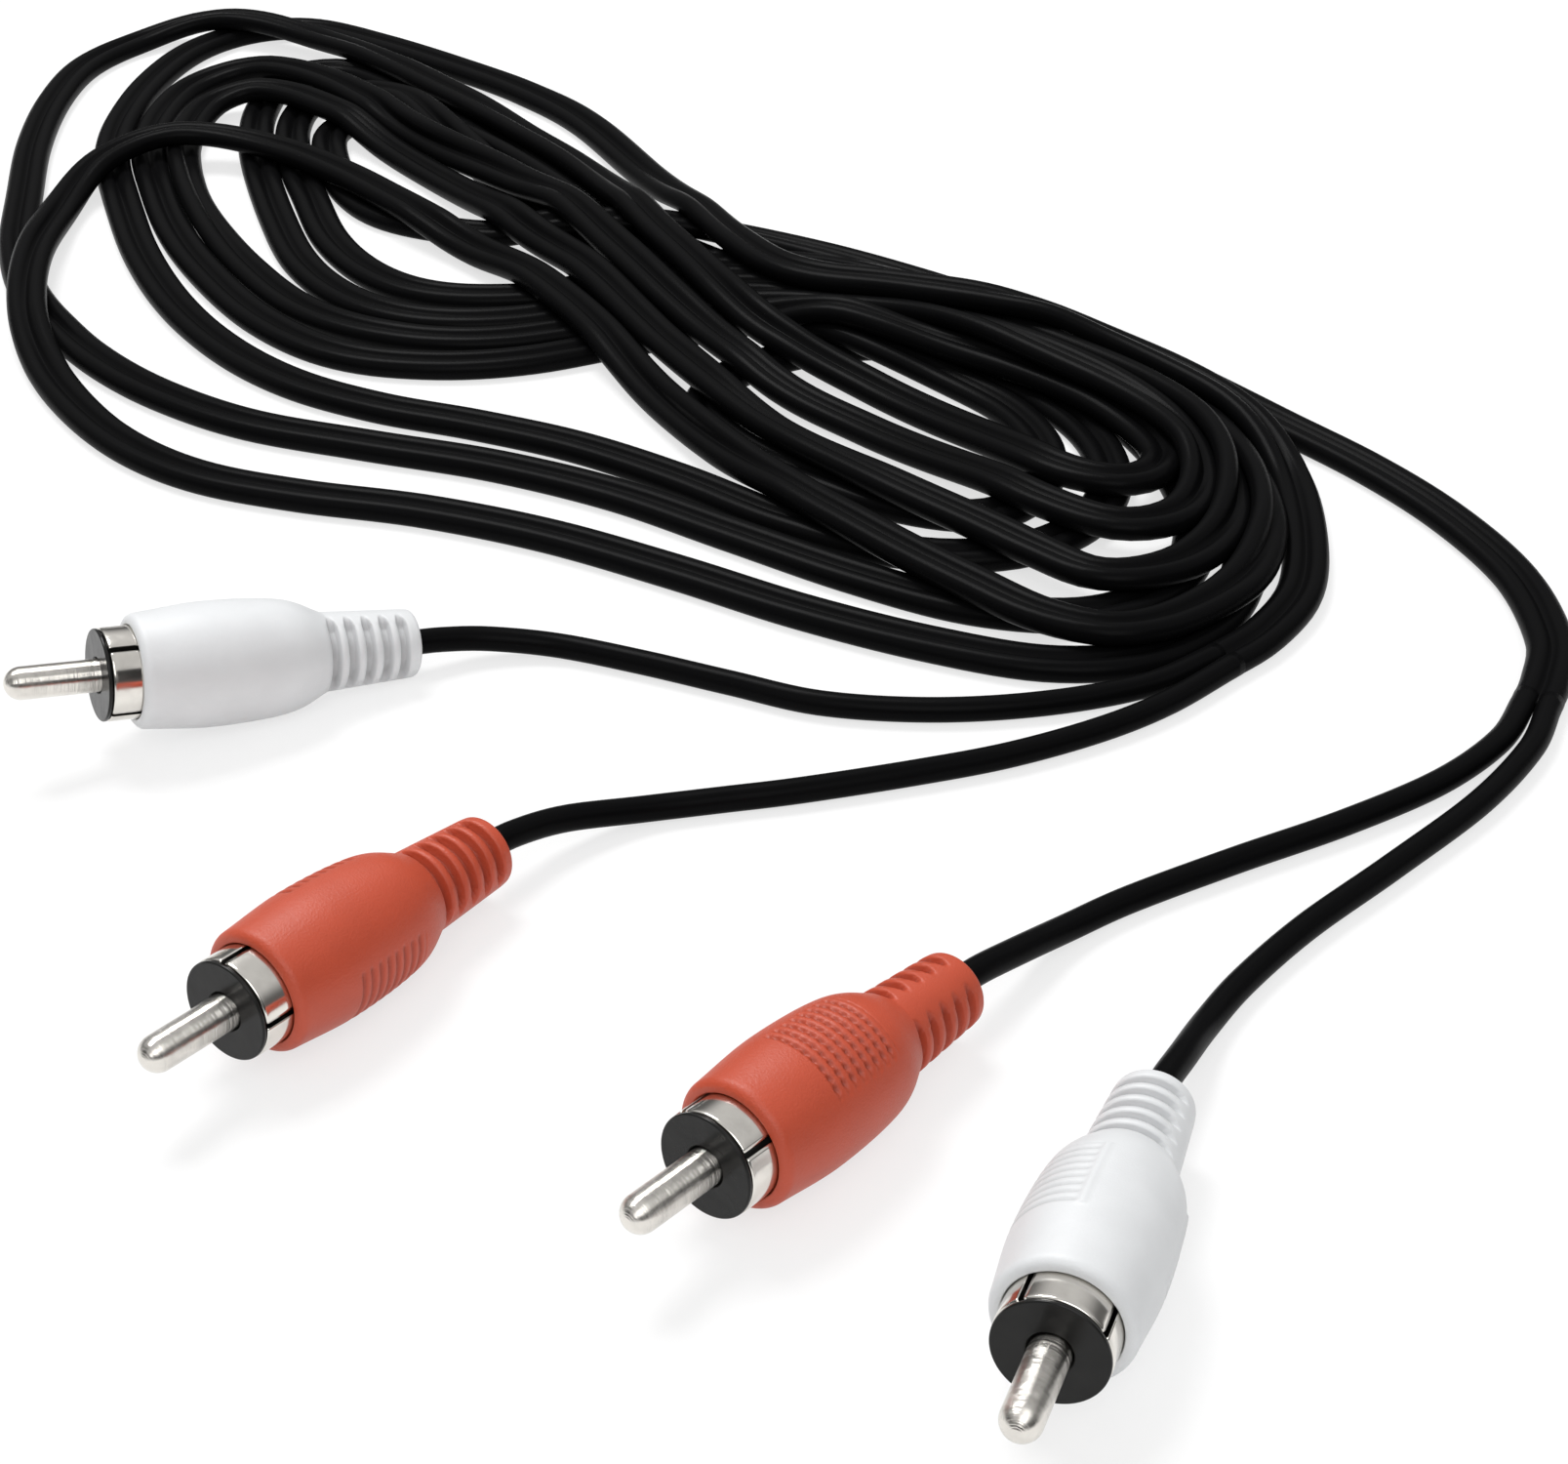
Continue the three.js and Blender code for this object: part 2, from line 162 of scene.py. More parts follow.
# Settling of the twin cable
SETTLE_STEPS = 300
SETTLE_CONTACT = 2.6
SETTLE_REACH = 8.5
SETTLE_REFRESH = 10
SETTLE_BLOCK = 256
SETTLE_LEAST = 0.05
SETTLE_FALL = 0.03
SETTLE_PULL = 0.03
SETTLE_LAST = 80
SETTLE_NEIGHBOURS = 8
TIGHTEST_BEND = 8
BEND_REACH = 3
PINNED = 6

# Studio, in metres: place, aim and size of each lamp, and place and size of each black card
KEY_LAMP = ((-0.2, 0.4, 0.75), (0, 0.08, 0), (0.4, 0.3))
FILL_LAMP = ((0.05, -0.6, 0.6), (0.02, 0.05, 0), (0.5, 0.5))
CARDS = {
    "left_card": ((-0.55, -0.15, 0.2), (0.3, 0.4)),
    "right_card": ((0.5, -0.35, 0.2), (0.3, 0.4)),
    "front_card": ((-0.1, -0.7, 0.25), (0.35, 0.3)),
}
CARD_COLOUR = (0.01, 0.01, 0.01, 1)
FLOOR_COLOUR = (0.93, 0.93, 0.93, 1)
FLOOR_SIZE = (6, 6)
FLOOR_GLOW = 0.7

# Sky: heights between which it brightens, and its shares of the set strength below and above
SKY_LOW = 0.15
SKY_HIGH = 0.6
SKY_SHARE_BELOW = 0.25
SKY_SHARE_ABOVE = 1.3

# Plastic, and the solids inside a plug with their materials
PLASTIC_IOR = 1.5
INSIDE = {
    "inner_mould": "natural_plastic",
    "conductor": "bare_copper",
    "core_insulation": "natural_plastic",
    "screen_pigtail": "bare_copper",
    "lead_end": "cable_jacket",
}

# Lead routes after each plug: x, y, height of the lead's centre
LEAD_ROUTES = {
    "end_a_left": [
        (-9.5, 55.8, 2.2), (-2.5, 55.8, 1.4), (6, 52.8, 1.3), (15, 48.9, 1.3), (24, 45.2, 1.3),
        (35, 44, 1.3), (46, 45.2, 1.3), (56, 48.4, 1.3), (62.7, 53.3, 1.25),
    ],
    "end_a_right": [
        (0.2, 22.8, 3.2), (7, 26.6, 1.6), (14.5, 28.6, 1.3), (22, 30.2, 1.3), (33, 33.2, 1.3),
        (42, 36.2, 1.3), (51, 40.6, 1.3), (58, 45.4, 1.3), (64.3, 51.5, 1.25),
    ],
    "end_b_right": [
        (40, 3, 3.3), (45, 8.5, 1.7), (51, 13.2, 1.3), (61, 19, 1.3), (72, 25, 1.3),
        (82, 31.6, 1.3), (89, 38.6, 1.3), (92.6, 45, 1.25),
    ],
    "end_b_left": [
        (52.6, -10.8, 3.3), (55.5, -4.6, 1.7), (59.5, 1.6, 1.3), (66, 9.2, 1.3), (75, 18, 1.3),
        (85, 28.2, 1.3), (91.7, 37.2, 1.3), (94.8, 44, 1.25),
    ],
}

# Twin cable from the split of end a to the split of end b: x, y, height of its middle, and how
# far its left lobe is turned up, in degrees
TWIN_ROUTE = [
    # outer right bight, back of the bundle, outer left bight
    (63.5, 52.4, 1.25, 0), (69, 57.9, 1.25, 0), (73.8, 66.1, 1.25, 0), (75.6, 76.6, 1.25, 0),
    (75, 87.6, 2.6, 0), (71.6, 97.1, 6.4, -5), (64.8, 105.6, 8, -10), (55.3, 114.1, 8.4, -20),
    (44, 121.2, 8.2, -35), (32, 127.1, 8, -50), (19, 133.6, 7.7, -58), (7, 153.6, 8.2, -60),
    (-6, 182.6, 7, -58), (-16, 197.6, 6, -52), (-27, 209.6, 5, -48), (-39, 220.6, 4.5, -45),
    (-51, 229.1, 4, -40), (-61, 228.6, 3.5, -35), (-68.5, 220.6, 3, -30), (-72.5, 206.6, 2, -20),
    (-72, 188.6, 1.5, -10), (-68, 171.6, 1.3, 0), (-63, 153.6, 1.3, 5), (-56, 137.6, 1.3, 10),
    (-47.5, 124.6, 1.3, 12), (-38, 115.1, 1.3, 15), (-27, 108.6, 1.4, 15), (-15, 104.1, 1.4, 15),
    (-3, 98.6, 1.4, 20), (9, 90.6, 1.5, 25), (21, 81.1, 1.6, 30), (33, 74.1, 1.8, 30),
    # inner right bight, a turn on the floor inside it, then under the bundle to the sixth left bight
    (44, 73.6, 2, 25), (52, 78.6, 2, 20), (56.3, 87.1, 2, 15), (56.8, 96.6, 2, 10),
    (54.3, 106.1, 2, 5), (49, 114.6, 2.2, 0), (41.5, 121.1, 2.2, -5), (32, 124.6, 2, -5),
    (22, 122.5, 1.4, 0), (13.5, 116, 1.3, 0), (11, 107.5, 1.3, 0), (15, 99, 1.3, 0),
    (24, 91, 1.3, 0), (34, 84.5, 1.3, 0), (42.5, 83, 1.3, 0), (48, 88.5, 1.3, 0),
    (49.5, 98, 1.3, 0), (46.5, 107, 1.3, 0), (40, 114, 2.2, 0), (31, 119.5, 4, -5),
    (20, 127, 4, -15), (9, 136.1, 2.4, -20), (0, 144.6, 1.6, -25), (-9, 156.6, 2, -30),
    (-18, 172.1, 3.6, -30), (-27, 188.6, 3.8, -30), (-34.5, 202.1, 2.8, -25), (-41.5, 209.1, 2, -15),
    (-48.5, 205.6, 1.6, -5), (-49, 191.1, 1.4, 0), (-43.5, 171.6, 1.3, 5), (-38.5, 156.1, 1.3, 10),
    (-31.5, 144.6, 1.4, 20), (-23, 138.1, 1.8, 25), (-12, 136.1, 3, 25), (0, 137.6, 4.5, 25),
    (12, 139.6, 5, 20), (23, 138.6, 4.8, 15), (34, 135.1, 4.5, 10), (45, 129.1, 4.5, 5),
    (55.5, 120.6, 4.5, 0), (64, 110.6, 4.5, -10), (69.2, 98.6, 4.3, -20), (71, 86.6, 4.3, -30),
    # first strand of the band, out to the near left bight
    (70.6, 74.6, 4.3, -40), (67.2, 63.6, 4.3, -45), (60.8, 56.1, 4.5, -50), (53.5, 52.6, 5, -55),
    (46, 55.1, 5.2, -58), (39, 61.1, 5.5, -60), (29, 71.1, 5.8, -60), (18, 83.1, 6, -60),
    (7, 99.6, 7, -60), (-3, 118.6, 8, -60), (-11, 132.6, 7.5, -55), (-18.5, 143.6, 6, -50),
    (-27, 155.6, 5, -45), (-37, 168.6, 4.6, -40), (-47.5, 178.6, 4.6, -35), (-58, 183.6, 4.6, -30),
    (-66.5, 182.1, 4.4, -28), (-72, 175.1, 3.8, -25), (-74.8, 163.6, 3.4, -22), (-75.2, 147.6, 4, -18),
    (-72.5, 132.6, 3, -12), (-67.5, 118.6, 1.6, -8), (-61, 107.1, 1.3, -10), (-53.5, 98.1, 1.3, -12),
    (-44.5, 91.6, 1.3, -14), (-33, 87.4, 1.3, -12), (-19, 83.9, 1.3, -5), (-5, 78.4, 1.3, 3),
    (9, 70.6, 1.3, 12), (22, 62.6, 1.3, 20), (35, 56.1, 1.4, 25), (47, 52.1, 1.5, 25),
    # second right bight, then under the bundle to the fifth left bight
    (57.5, 53.1, 1.6, 20), (65, 59.6, 1.6, 15), (69, 69.6, 1.7, 10), (70, 80.6, 1.8, 5),
    (68.5, 91.6, 2, 0), (64, 101.6, 2, -5), (57, 111.1, 2, -10), (48, 120.1, 2, -15),
    (37.5, 128.6, 2, -20), (26, 136.1, 2, -20), (14, 144.6, 1.8, -25), (3, 155.6, 1.6, -30),
    (-7.5, 170.1, 1.6, -30), (-18, 186.6, 1.6, -30), (-28.5, 201.6, 1.6, -30), (-37.5, 213.1, 1.6, -25),
    (-46, 219.1, 1.6, -15), (-53.3, 214.6, 1.5, -5), (-54.8, 200.6, 1.4, 0), (-51.5, 182.6, 1.3, 0),
    (-47, 164.6, 1.3, 5), (-41.5, 149.1, 1.3, 10), (-34, 138.1, 1.3, 20), (-24.5, 131.6, 1.5, 22),
    (-13, 129.6, 2.5, 25), (0, 131.6, 4.5, 25), (12, 134.4, 5, 20), (23, 134.1, 4.8, 15),
    (33.5, 130.6, 4.5, 10), (43.5, 124.8, 4.5, 5), (53, 116.8, 4.5, 0), (61.3, 107.1, 4.5, -10),
    (66.6, 96.1, 4.3, -20), (68.4, 84.6, 4.3, -30), (66.8, 74.1, 4.3, -40), (61, 65.8, 4.6, -50),
    # second strand of the band and the fourth left bight
    (53, 63.1, 5, -55), (46.5, 67.6, 5.3, -58), (40, 73.6, 5.6, -60), (29, 83.6, 6, -60),
    (18, 95.1, 6.3, -60), (6.5, 113.1, 7.5, -60), (-4, 133.1, 8, -60), (-13, 147.6, 7, -58),
    (-23, 163.6, 6, -55), (-33, 178.6, 5, -50), (-42, 191.6, 4.5, -45), (-50, 200.6, 4, -40),
    (-57, 203.6, 3.4, -32), (-62.5, 199.6, 2.8, -25), (-64.5, 187.6, 2, -15), (-61.5, 174.6, 1.6, -8),
    (-56, 161.1, 1.4, 0), (-48.5, 147.6, 1.3, 5), (-39.5, 135.4, 1.3, 12), (-29, 128.1, 1.4, 18),
    (-17, 124.8, 1.6, 20), (-4.5, 125.6, 3.5, 25), (8, 129.1, 5, 20), (19, 130.4, 5, 15),
    (30, 128.1, 4.8, 10), (40.5, 123.1, 4.6, 5), (50, 115.6, 4.6, 0), (58.3, 106.9, 4.5, -10),
    (64, 96.6, 4.3, -22), (65.8, 86.1, 4.3, -35), (62.8, 77.1, 4.6, -45),
    # third strand of the band and the third left bight
    (56, 73.6, 5, -52), (48, 77.6, 5.3, -58), (40.5, 84.6, 5.7, -60), (29.5, 94.6, 6.1, -60),
    (18, 106.1, 6.5, -60), (6.5, 125.1, 7.8, -60), (-5, 148.1, 8, -60), (-14.5, 163.1, 7, -58),
    (-24.5, 178.1, 6, -55), (-34.5, 192.1, 5, -50), (-43.5, 203.1, 4.5, -45), (-52, 210.1, 4, -40),
    (-60, 211.6, 3.4, -32), (-66.5, 206.1, 2.6, -22), (-68.8, 193.6, 1.8, -12), (-66.3, 179.6, 1.5, -5),
    (-61, 163.6, 1.3, 0), (-53.5, 147.1, 1.3, 5), (-44.5, 132.6, 1.3, 10), (-34, 122.9, 1.3, 15),
    (-22, 118.9, 1.4, 20), (-9.5, 118.6, 2.5, 22), (3, 122.1, 4.5, 25), (14.5, 125.6, 5, 20),
    (25, 125.3, 5, 15), (36, 121.8, 4.8, 10), (46.5, 115.1, 4.6, 5), (55.3, 106.6, 4.5, -8),
    (61.5, 97.4, 4.4, -22), (63.2, 88.6, 4.6, -33),
    # fourth strand of the band and the far left bight
    (59.2, 82, 4.8, -45), (51.2, 84, 5.3, -56), (42.5, 92.6, 5.8, -60), (30.5, 104.6, 6.3, -60),
    (18.5, 117.6, 7, -60), (6.5, 139.6, 8, -60), (-6, 166.1, 7.5, -60), (-15.5, 180.6, 6.8, -58),
    (-25.5, 194.1, 6.5, -55), (-36, 206.6, 6.3, -50), (-46.5, 216.6, 6.5, -45), (-57, 224.1, 6.5, -40),
    (-67.5, 228.1, 5, -35), (-76.5, 226.1, 2.8, -30), (-83, 217.6, 2, -28), (-85, 204.6, 1.9, -25),
    (-84.3, 187.6, 1.8, -22), (-81.5, 169.6, 1.6, -15), (-78.5, 153.6, 1.4, -8), (-74.5, 140.1, 1.3, 0),
    (-68.5, 129.1, 1.3, 5), (-61, 119.4, 1.4, 10), (-52, 111.1, 1.4, 12), (-41, 104.1, 1.4, 12),
    (-27, 99.1, 1.4, 12), (-12, 94.1, 1.4, 15), (2, 87.1, 1.5, 20), (15, 78.1, 1.5, 25),
    # third right bight, then under the bundle to the last left bight
    (28, 69.1, 1.6, 28), (40, 62.6, 1.7, 28), (51, 61.1, 1.8, 25), (59.5, 65.6, 1.9, 20),
    (64, 73.6, 2, 15), (65.5, 83.6, 2, 10), (64, 94.1, 2, 5), (59.8, 103.6, 2, 0),
    (53, 112.6, 2, -5), (44.5, 121.1, 2, -10), (34.5, 128.1, 2, -15), (23.5, 133.6, 1.9, -20),
    (13, 140.6, 1.7, -25), (4, 150.6, 1.6, -28), (-5.5, 164.6, 1.5, -30), (-16, 178.1, 1.4, -30),
    (-25, 190.1, 1.4, -28), (-32, 199.1, 1.4, -20), (-39.5, 201.1, 1.4, -8), (-43.8, 193.6, 1.3, 0),
    (-42.3, 181.1, 1.3, 5), (-37.5, 169.6, 1.4, 15), (-31, 161.6, 1.8, 25), (-22, 156.6, 2.6, 28),
    (-11, 154.1, 4.2, 25), (1, 153.1, 4.8, 20), (13, 150.6, 4.8, 15), (25, 145.9, 4.2, 10),
    # out of the bundle to the split of end b
    (37, 139.6, 3, 8), (49, 131.4, 2, 5), (59, 123.6, 1.4, 5), (67.6, 114.8, 1.25, 5),
    (76.6, 104.8, 1.25, 8), (85.5, 94.2, 1.25, 10), (92.5, 82.6, 1.25, 5), (97.2, 69.6, 1.25, 0),
    (97.9, 57, 1.25, 0), (95.8, 49.2, 1.25, 0), (93.7, 44.5, 1.25, 0),
]


class CableSettings(bpy.types.PropertyGroup):
    """Finish of the cable and its leads."""

    colour: FloatVectorProperty(
        name="Jacket colour", description="Colour of the black jacket", subtype="COLOR",
        size=3, min=0, max=1, default=(0.0028, 0.0028, 0.003),
    )
    roughness: FloatProperty(
        name="Jacket roughness", description="How matt the jacket is", subtype="FACTOR",
        min=0, max=1, default=0.3,
    )


class PlugSettings(bpy.types.PropertyGroup):
    """Finish of the plugs."""

    white: FloatVectorProperty(
        name="White moulding", description="Colour of the white mouldings", subtype="COLOR",
        size=3, min=0, max=1, default=(0.68, 0.69, 0.70),
    )
    red: FloatVectorProperty(
        name="Red moulding", description="Colour of the red mouldings", subtype="COLOR",
        size=3, min=0, max=1, default=(0.48, 0.063, 0.024),
    )
    nickel: FloatVectorProperty(
        name="Nickel", description="Colour of the plated pins and rings", subtype="COLOR",
        size=3, min=0, max=1, default=(0.78, 0.75, 0.70),
    )
    grip_depth: FloatProperty(
        name="Grip depth", description="Depth of the grip grooves", subtype="DISTANCE",
        unit="LENGTH", min=0, max=0.0005, default=GRIP_DEPTH * MM,
    )


class StudioSettings(bpy.types.PropertyGroup):
    """Light and backdrop."""

    key_power: FloatProperty(
        name="Key lamp", description="Power of the large lamp above", subtype="POWER",
        unit="POWER", min=0, max=500, default=5.5,
    )
    fill_power: FloatProperty(
        name="Fill lamp", description="Power of the lamp beside the camera", subtype="POWER",
        unit="POWER", min=0, max=500, default=2.4,
    )
    sky: FloatProperty(
        name="Sky", description="Strength of the light from all round", subtype="FACTOR",
        min=0, max=2, default=0.5,
    )


class Value:
    """A shader socket that can be used in sums, differences and products."""

    def __init__(self, sheet, socket):
        self.sheet = sheet
        self.socket = socket

    def maths(self, operation, first, second):
        return self.sheet.node("ShaderNodeMath", {"operation": operation}, {0: first, 1: second})

    def __add__(self, other):
        return self.maths("ADD", self, other)

    __radd__ = __add__

    def __sub__(self, other):
        return self.maths("SUBTRACT", self, other)

    def __rsub__(self, other):
        return self.maths("SUBTRACT", other, self)

    def __mul__(self, other):
        return self.maths("MULTIPLY", self, other)

    __rmul__ = __mul__

    def at_most(self, limit):
        return self.maths("MINIMUM", self, limit)

    def between(self, low, high):
        """0 below low, 1 above high, and a smooth step from one to the other."""
        settings = {"interpolation_type": "SMOOTHSTEP"}
        sockets = {"Value": self, "From Min": low, "From Max": high}
        return self.sheet.node("ShaderNodeMapRange", settings, sockets)


class NodeSheet:
    """A node tree, with one way to add nodes to it."""

    def __init__(self, tree):
        self.tree = tree

    def add(self, kind, settings=None, sockets=None):
        """Adds a node, sets it, then gives its sockets values or links."""
        made = self.tree.nodes.new(kind)
        for key, value in (settings or {}).items():
            setattr(made, key, value)
        for key, value in (sockets or {}).items():
            self.feed(made.inputs[key], value)
        return made

    def node(self, kind, settings=None, sockets=None, output=0):
        """One output of a new node."""
        return Value(self, self.add(kind, settings, sockets).outputs[output])

    def feed(self, socket, value):
        if isinstance(value, Value):
            self.tree.links.new(value.socket, socket)
        else:
            socket.default_value = value


class MaterialSheet(NodeSheet):
    """One material's nodes, with its shader and output in place."""

    def __init__(self, name, **constants):
        self.material = bpy.data.materials.new(name)
        self.material.use_nodes = True
        super().__init__(self.material.node_tree)
        self.tree.nodes.clear()
        self.shader = self.add("ShaderNodeBsdfPrincipled")
        self.surface = Value(self, self.shader.outputs[0])
        self.output = self.add("ShaderNodeOutputMaterial", None, {"Surface": self.surface})
        self.set(**constants)

    def set(self, **sockets):
        for socket, value in sockets.items():
            self.feed(self.shader.inputs[socket.replace("_", " ")], value)

    def noise(self, scale, detail=3, where=None):
        where = where or self.node("ShaderNodeTexCoord", output="Object")
        sockets = {"Vector": where, "Scale": scale, "Detail": detail}
        return self.node("ShaderNodeTexNoise", None, sockets)

    def attribute(self, name):
        return self.node("ShaderNodeAttribute", {"attribute_name": name}, output="Fac")

    def mix(self, share, first, second):
        """A colour that goes from first to second. The node's colour sockets are 6, 7 and output 2."""
        sockets = {0: share, 6: rgba(first), 7: rgba(second)}
        return self.node("ShaderNodeMix", {"data_type": "RGBA"}, sockets, 2)

    def bump(self, height, distance):
        return self.node("ShaderNodeBump", None, {"Height": height, "Distance": distance * MM})


def rgba(colour):
    return colour if isinstance(colour, Value) else (*tuple(colour)[:3], 1)


def scaled(colour, share):
    return tuple(min(1, part * share) for part in colour)


def moulded_pvc(name, colour, grain):
    """Satin moulded PVC with fine grain, faint mottling and painted shade in its slots and grip grooves.
    """
    sheet = MaterialSheet(name, IOR=PLASTIC_IOR)
    fine = sheet.noise(5200, 4)
    coarse = sheet.noise(260)
    painted_groove_shade = sheet.attribute("painted_groove_shade")
    mottled = sheet.mix(coarse.between(0.3, 0.7), scaled(colour, 0.98), scaled(colour, 1.02))
    # Painted shade: the colour darkens to 0.74 of itself where the mask marks the slots and grip grooves.
    shade = sheet.mix(painted_groove_shade, mottled, scaled(colour, 0.74))
    sheet.set(Base_Color=shade, Roughness=0.4 + 0.14 * fine, Normal=sheet.bump(fine, grain))
    return sheet.material


def nickel_plate(name, colour, turning):
    """Bright plating with a few dull patches, and turning marks on the pieces that have stations."""
    sheet = MaterialSheet(name, Metallic=1.0)
    marks = sheet.noise(14, 2, sheet.attribute("station"))
    patches = sheet.noise(420)
    tone = sheet.mix(patches.between(0.35, 0.75), colour, scaled(colour, 0.86))
    roughness = 0.13 + 0.12 * patches.between(0.45, 0.75)
    sheet.set(Base_Color=tone, Roughness=roughness, Normal=sheet.bump(marks, turning))
    return sheet.material


def gloss_black():
    """Gloss black plastic of the insulators, with faint sink marks."""
    sheet = MaterialSheet("gloss_black_plastic", IOR=PLASTIC_IOR, Specular_IOR_Level=0.2)
    sinks = sheet.noise(520, 2)
    tone = sheet.mix(sinks, (0.008, 0.008, 0.008), (0.016, 0.016, 0.015))
    sheet.set(Base_Color=tone, Roughness=0.16 + 0.12 * sinks, Normal=sheet.bump(sinks, 0.05))
    return sheet.material


def cable_jacket(settings):
    """Drawn black PVC: streaks along the cable, a fine grain and soft gloss."""
    sheet = MaterialSheet("cable_jacket", IOR=PLASTIC_IOR, Specular_IOR_Level=0.025)
    along = sheet.node("ShaderNodeUVMap", {"uv_map": "jacket"})
    streaks = sheet.noise(1, where=along)
    grain = sheet.noise(2600)
    handling = sheet.noise(70)
    tone = sheet.mix(streaks, scaled(settings.colour, 0.75), scaled(settings.colour, 1.6))
    gloss = settings.roughness - 0.05 + 0.08 * streaks + 0.06 * handling
    height = 0.6 * grain + streaks
    sheet.set(Base_Color=tone, Roughness=gloss, Normal=sheet.bump(height, 0.012))
    return sheet.material


def plain_finish(name, colour, roughness, metallic=0.0):
    """Material of the pieces sealed inside a plug."""
    sheet = MaterialSheet(name, Metallic=metallic)
    grain = sheet.noise(1800)
    tone = sheet.mix(grain, scaled(colour, 0.9), scaled(colour, 1.08))
    sheet.set(Base_Color=tone, Roughness=roughness + 0.1 * grain)
    return sheet.material


def spline(points, step):
    """Points a step apart on a smooth curve through the given ones."""
    p = np.array(points, float)
    p = np.vstack([2 * p[0] - p[1], p, 2 * p[-1] - p[-2]])
    t = np.linspace(0, 1, SPLINE_STEPS, endpoint=False)[:, None]
    runs = []
    for before, start, end, after in zip(p, p[1:], p[2:], p[3:]):
        slope = (end - before) * t
        curve = (2 * before - 5 * start + 4 * end - after) * t**2
        twist = (3 * start - before - 3 * end + after) * t**3
        runs.append(0.5 * (2 * start + slope + curve + twist))
    line = np.vstack([*runs, p[-2][None]])
    travelled = lengths(line[:, :3])
    stations = np.linspace(0, travelled[-1], max(2, round(travelled[-1] / step)) + 1)
    return np.column_stack([np.interp(stations, travelled, column) for column in line.T])


def lengths(points):
    """Distance travelled at each point of a line."""
    steps = np.linalg.norm(np.diff(points, axis=0), axis=1)
    return np.concatenate([[0], np.cumsum(steps)])


def unit(vectors):
    return vectors / np.maximum(np.linalg.norm(vectors, axis=-1, keepdims=True), 1e-9)


def tangents(line):
    return unit(np.gradient(line, axis=0))


def across(line, sides):
    """Sides made square to the line."""
    ahead = tangents(line)
    return unit(sides - (sides * ahead).sum(1, keepdims=True) * ahead)


def smoothed(values, rounds=1):
    """Values averaged with their neighbours, the ends kept."""
    for _ in range(rounds):
        inner = 0.5 * values[1:-1] + 0.25 * (values[:-2] + values[2:])
        values = np.concatenate([values[:1], inner, values[-1:]])
    return values


def eased_bends(line):
    """Bends tighter than the cable takes, opened a little."""
    inner = line[BEND_REACH:-BEND_REACH]
    chord = 0.5 * (line[:-2 * BEND_REACH] + line[2 * BEND_REACH:])
    depth = chord - inner
    size = np.linalg.norm(depth, axis=1, keepdims=True)
    allowed = (BEND_REACH * CABLE_STEP) ** 2 / (2 * TIGHTEST_BEND)
    excess = np.maximum(0, 1 - allowed / np.maximum(size, 1e-9))
    moved = line.copy()
    moved[BEND_REACH:-BEND_REACH] += 0.5 * depth * excess
    return moved


def near_pairs(middle):
    """Samples of different strands that lie close enough to meet."""
    first, second = [], []
    for start in range(0, len(middle), SETTLE_BLOCK):
        rows = middle[start:start + SETTLE_BLOCK]
        apart = ((rows[:, None] - middle[None]) ** 2).sum(2) < SETTLE_REACH**2
        i, j = np.nonzero(apart)
        i += start
        keep = j - i > SETTLE_NEIGHBOURS
        first.append(i[keep])
        second.append(j[keep])
    return np.concatenate(first), np.concatenate(second)


def part_lobes(lobes, first, second):
    """Shares out the push that keeps lobes of different strands from running into each other."""
    push = np.zeros_like(lobes)
    count = np.zeros(lobes.shape[:2])
    for a in range(2):
        for b in range(2):
            gap = lobes[a, first] - lobes[b, second]
            apart = np.linalg.norm(gap, axis=1)
            close = apart < SETTLE_CONTACT
            excess = SETTLE_CONTACT / np.maximum(apart[close], SETTLE_LEAST) - 1
            move = gap[close] * (0.5 * excess)[:, None]
            i, j = first[close], second[close]
            np.add.at(push[a], i, move)
            np.add.at(push[b], j, -move)
            np.add.at(count[a], i, 1)
            np.add.at(count[b], j, 1)
    return lobes + push / np.maximum(count, 1)[..., None]


def settled(route):
    """The twin cable's middle line and the side of its left lobe, after it has sunk on to itself."""
    line = spline(route, CABLE_STEP)
    middle = line[:, :3].copy()
    tilt = np.radians(line[:, 3])[:, None]
    up = np.array([0, 0, 1.0])
    level = unit(np.cross(up, tangents(middle)))
    side = across(middle, level * np.cos(tilt) + up * np.sin(tilt))
    drawn = middle.copy()
    eye = np.array(EYE)
    sight = (drawn - eye) / (drawn[:, 2:] - eye[2])
    half = LOBE_SPACING / 2
    for step in range(SETTLE_STEPS):
        if step % SETTLE_REFRESH == 0:
            first, second = near_pairs(middle)
        if step < SETTLE_STEPS - SETTLE_LAST:
            target = drawn + sight * (middle[:, 2:] - drawn[:, 2:])
            middle = middle + SETTLE_PULL * (target - middle)
            middle[:, 2] -= SETTLE_FALL
        lobes = np.stack([middle + half * side, middle - half * side])
        lobes = part_lobes(lobes, first, second)
        lobes[..., 2] = np.maximum(lobes[..., 2], LOBE_RADIUS)
        middle = drawn + smoothed(lobes.mean(0) - drawn)
        middle = eased_bends(middle)
        middle[:PINNED], middle[-PINNED:] = drawn[:PINNED], drawn[-PINNED:]
        side = across(middle, smoothed(lobes[0] - lobes[1], 2))
    lowest = LOBE_RADIUS + half * np.abs(side[:, 2])
    middle[:, 2] = np.maximum(middle[:, 2], lowest)
    return middle, side


def twin_section():
    """Corners of the twin cable's figure-of-eight section: across, and out of the flat."""
    open_angle = math.asin(WEB_HALF / LOBE_RADIUS)
    corners = []
    for lobe in (1, -1):
        start = -math.pi + open_angle if lobe == 1 else open_angle
        for i in range(LOBE_STEPS + 1):
            angle = start + (2 * math.pi - 2 * open_angle) * i / LOBE_STEPS
            x = lobe * LOBE_SPACING / 2 + LOBE_RADIUS * math.cos(angle)
            corners.append((x, LOBE_RADIUS * math.sin(angle)))
    return np.array(corners)


def round_section():
    angles = np.arange(LEAD_SIDES) * 2 * math.pi / LEAD_SIDES
    return LEAD_RADIUS * np.column_stack([np.cos(angles), np.sin(angles)])


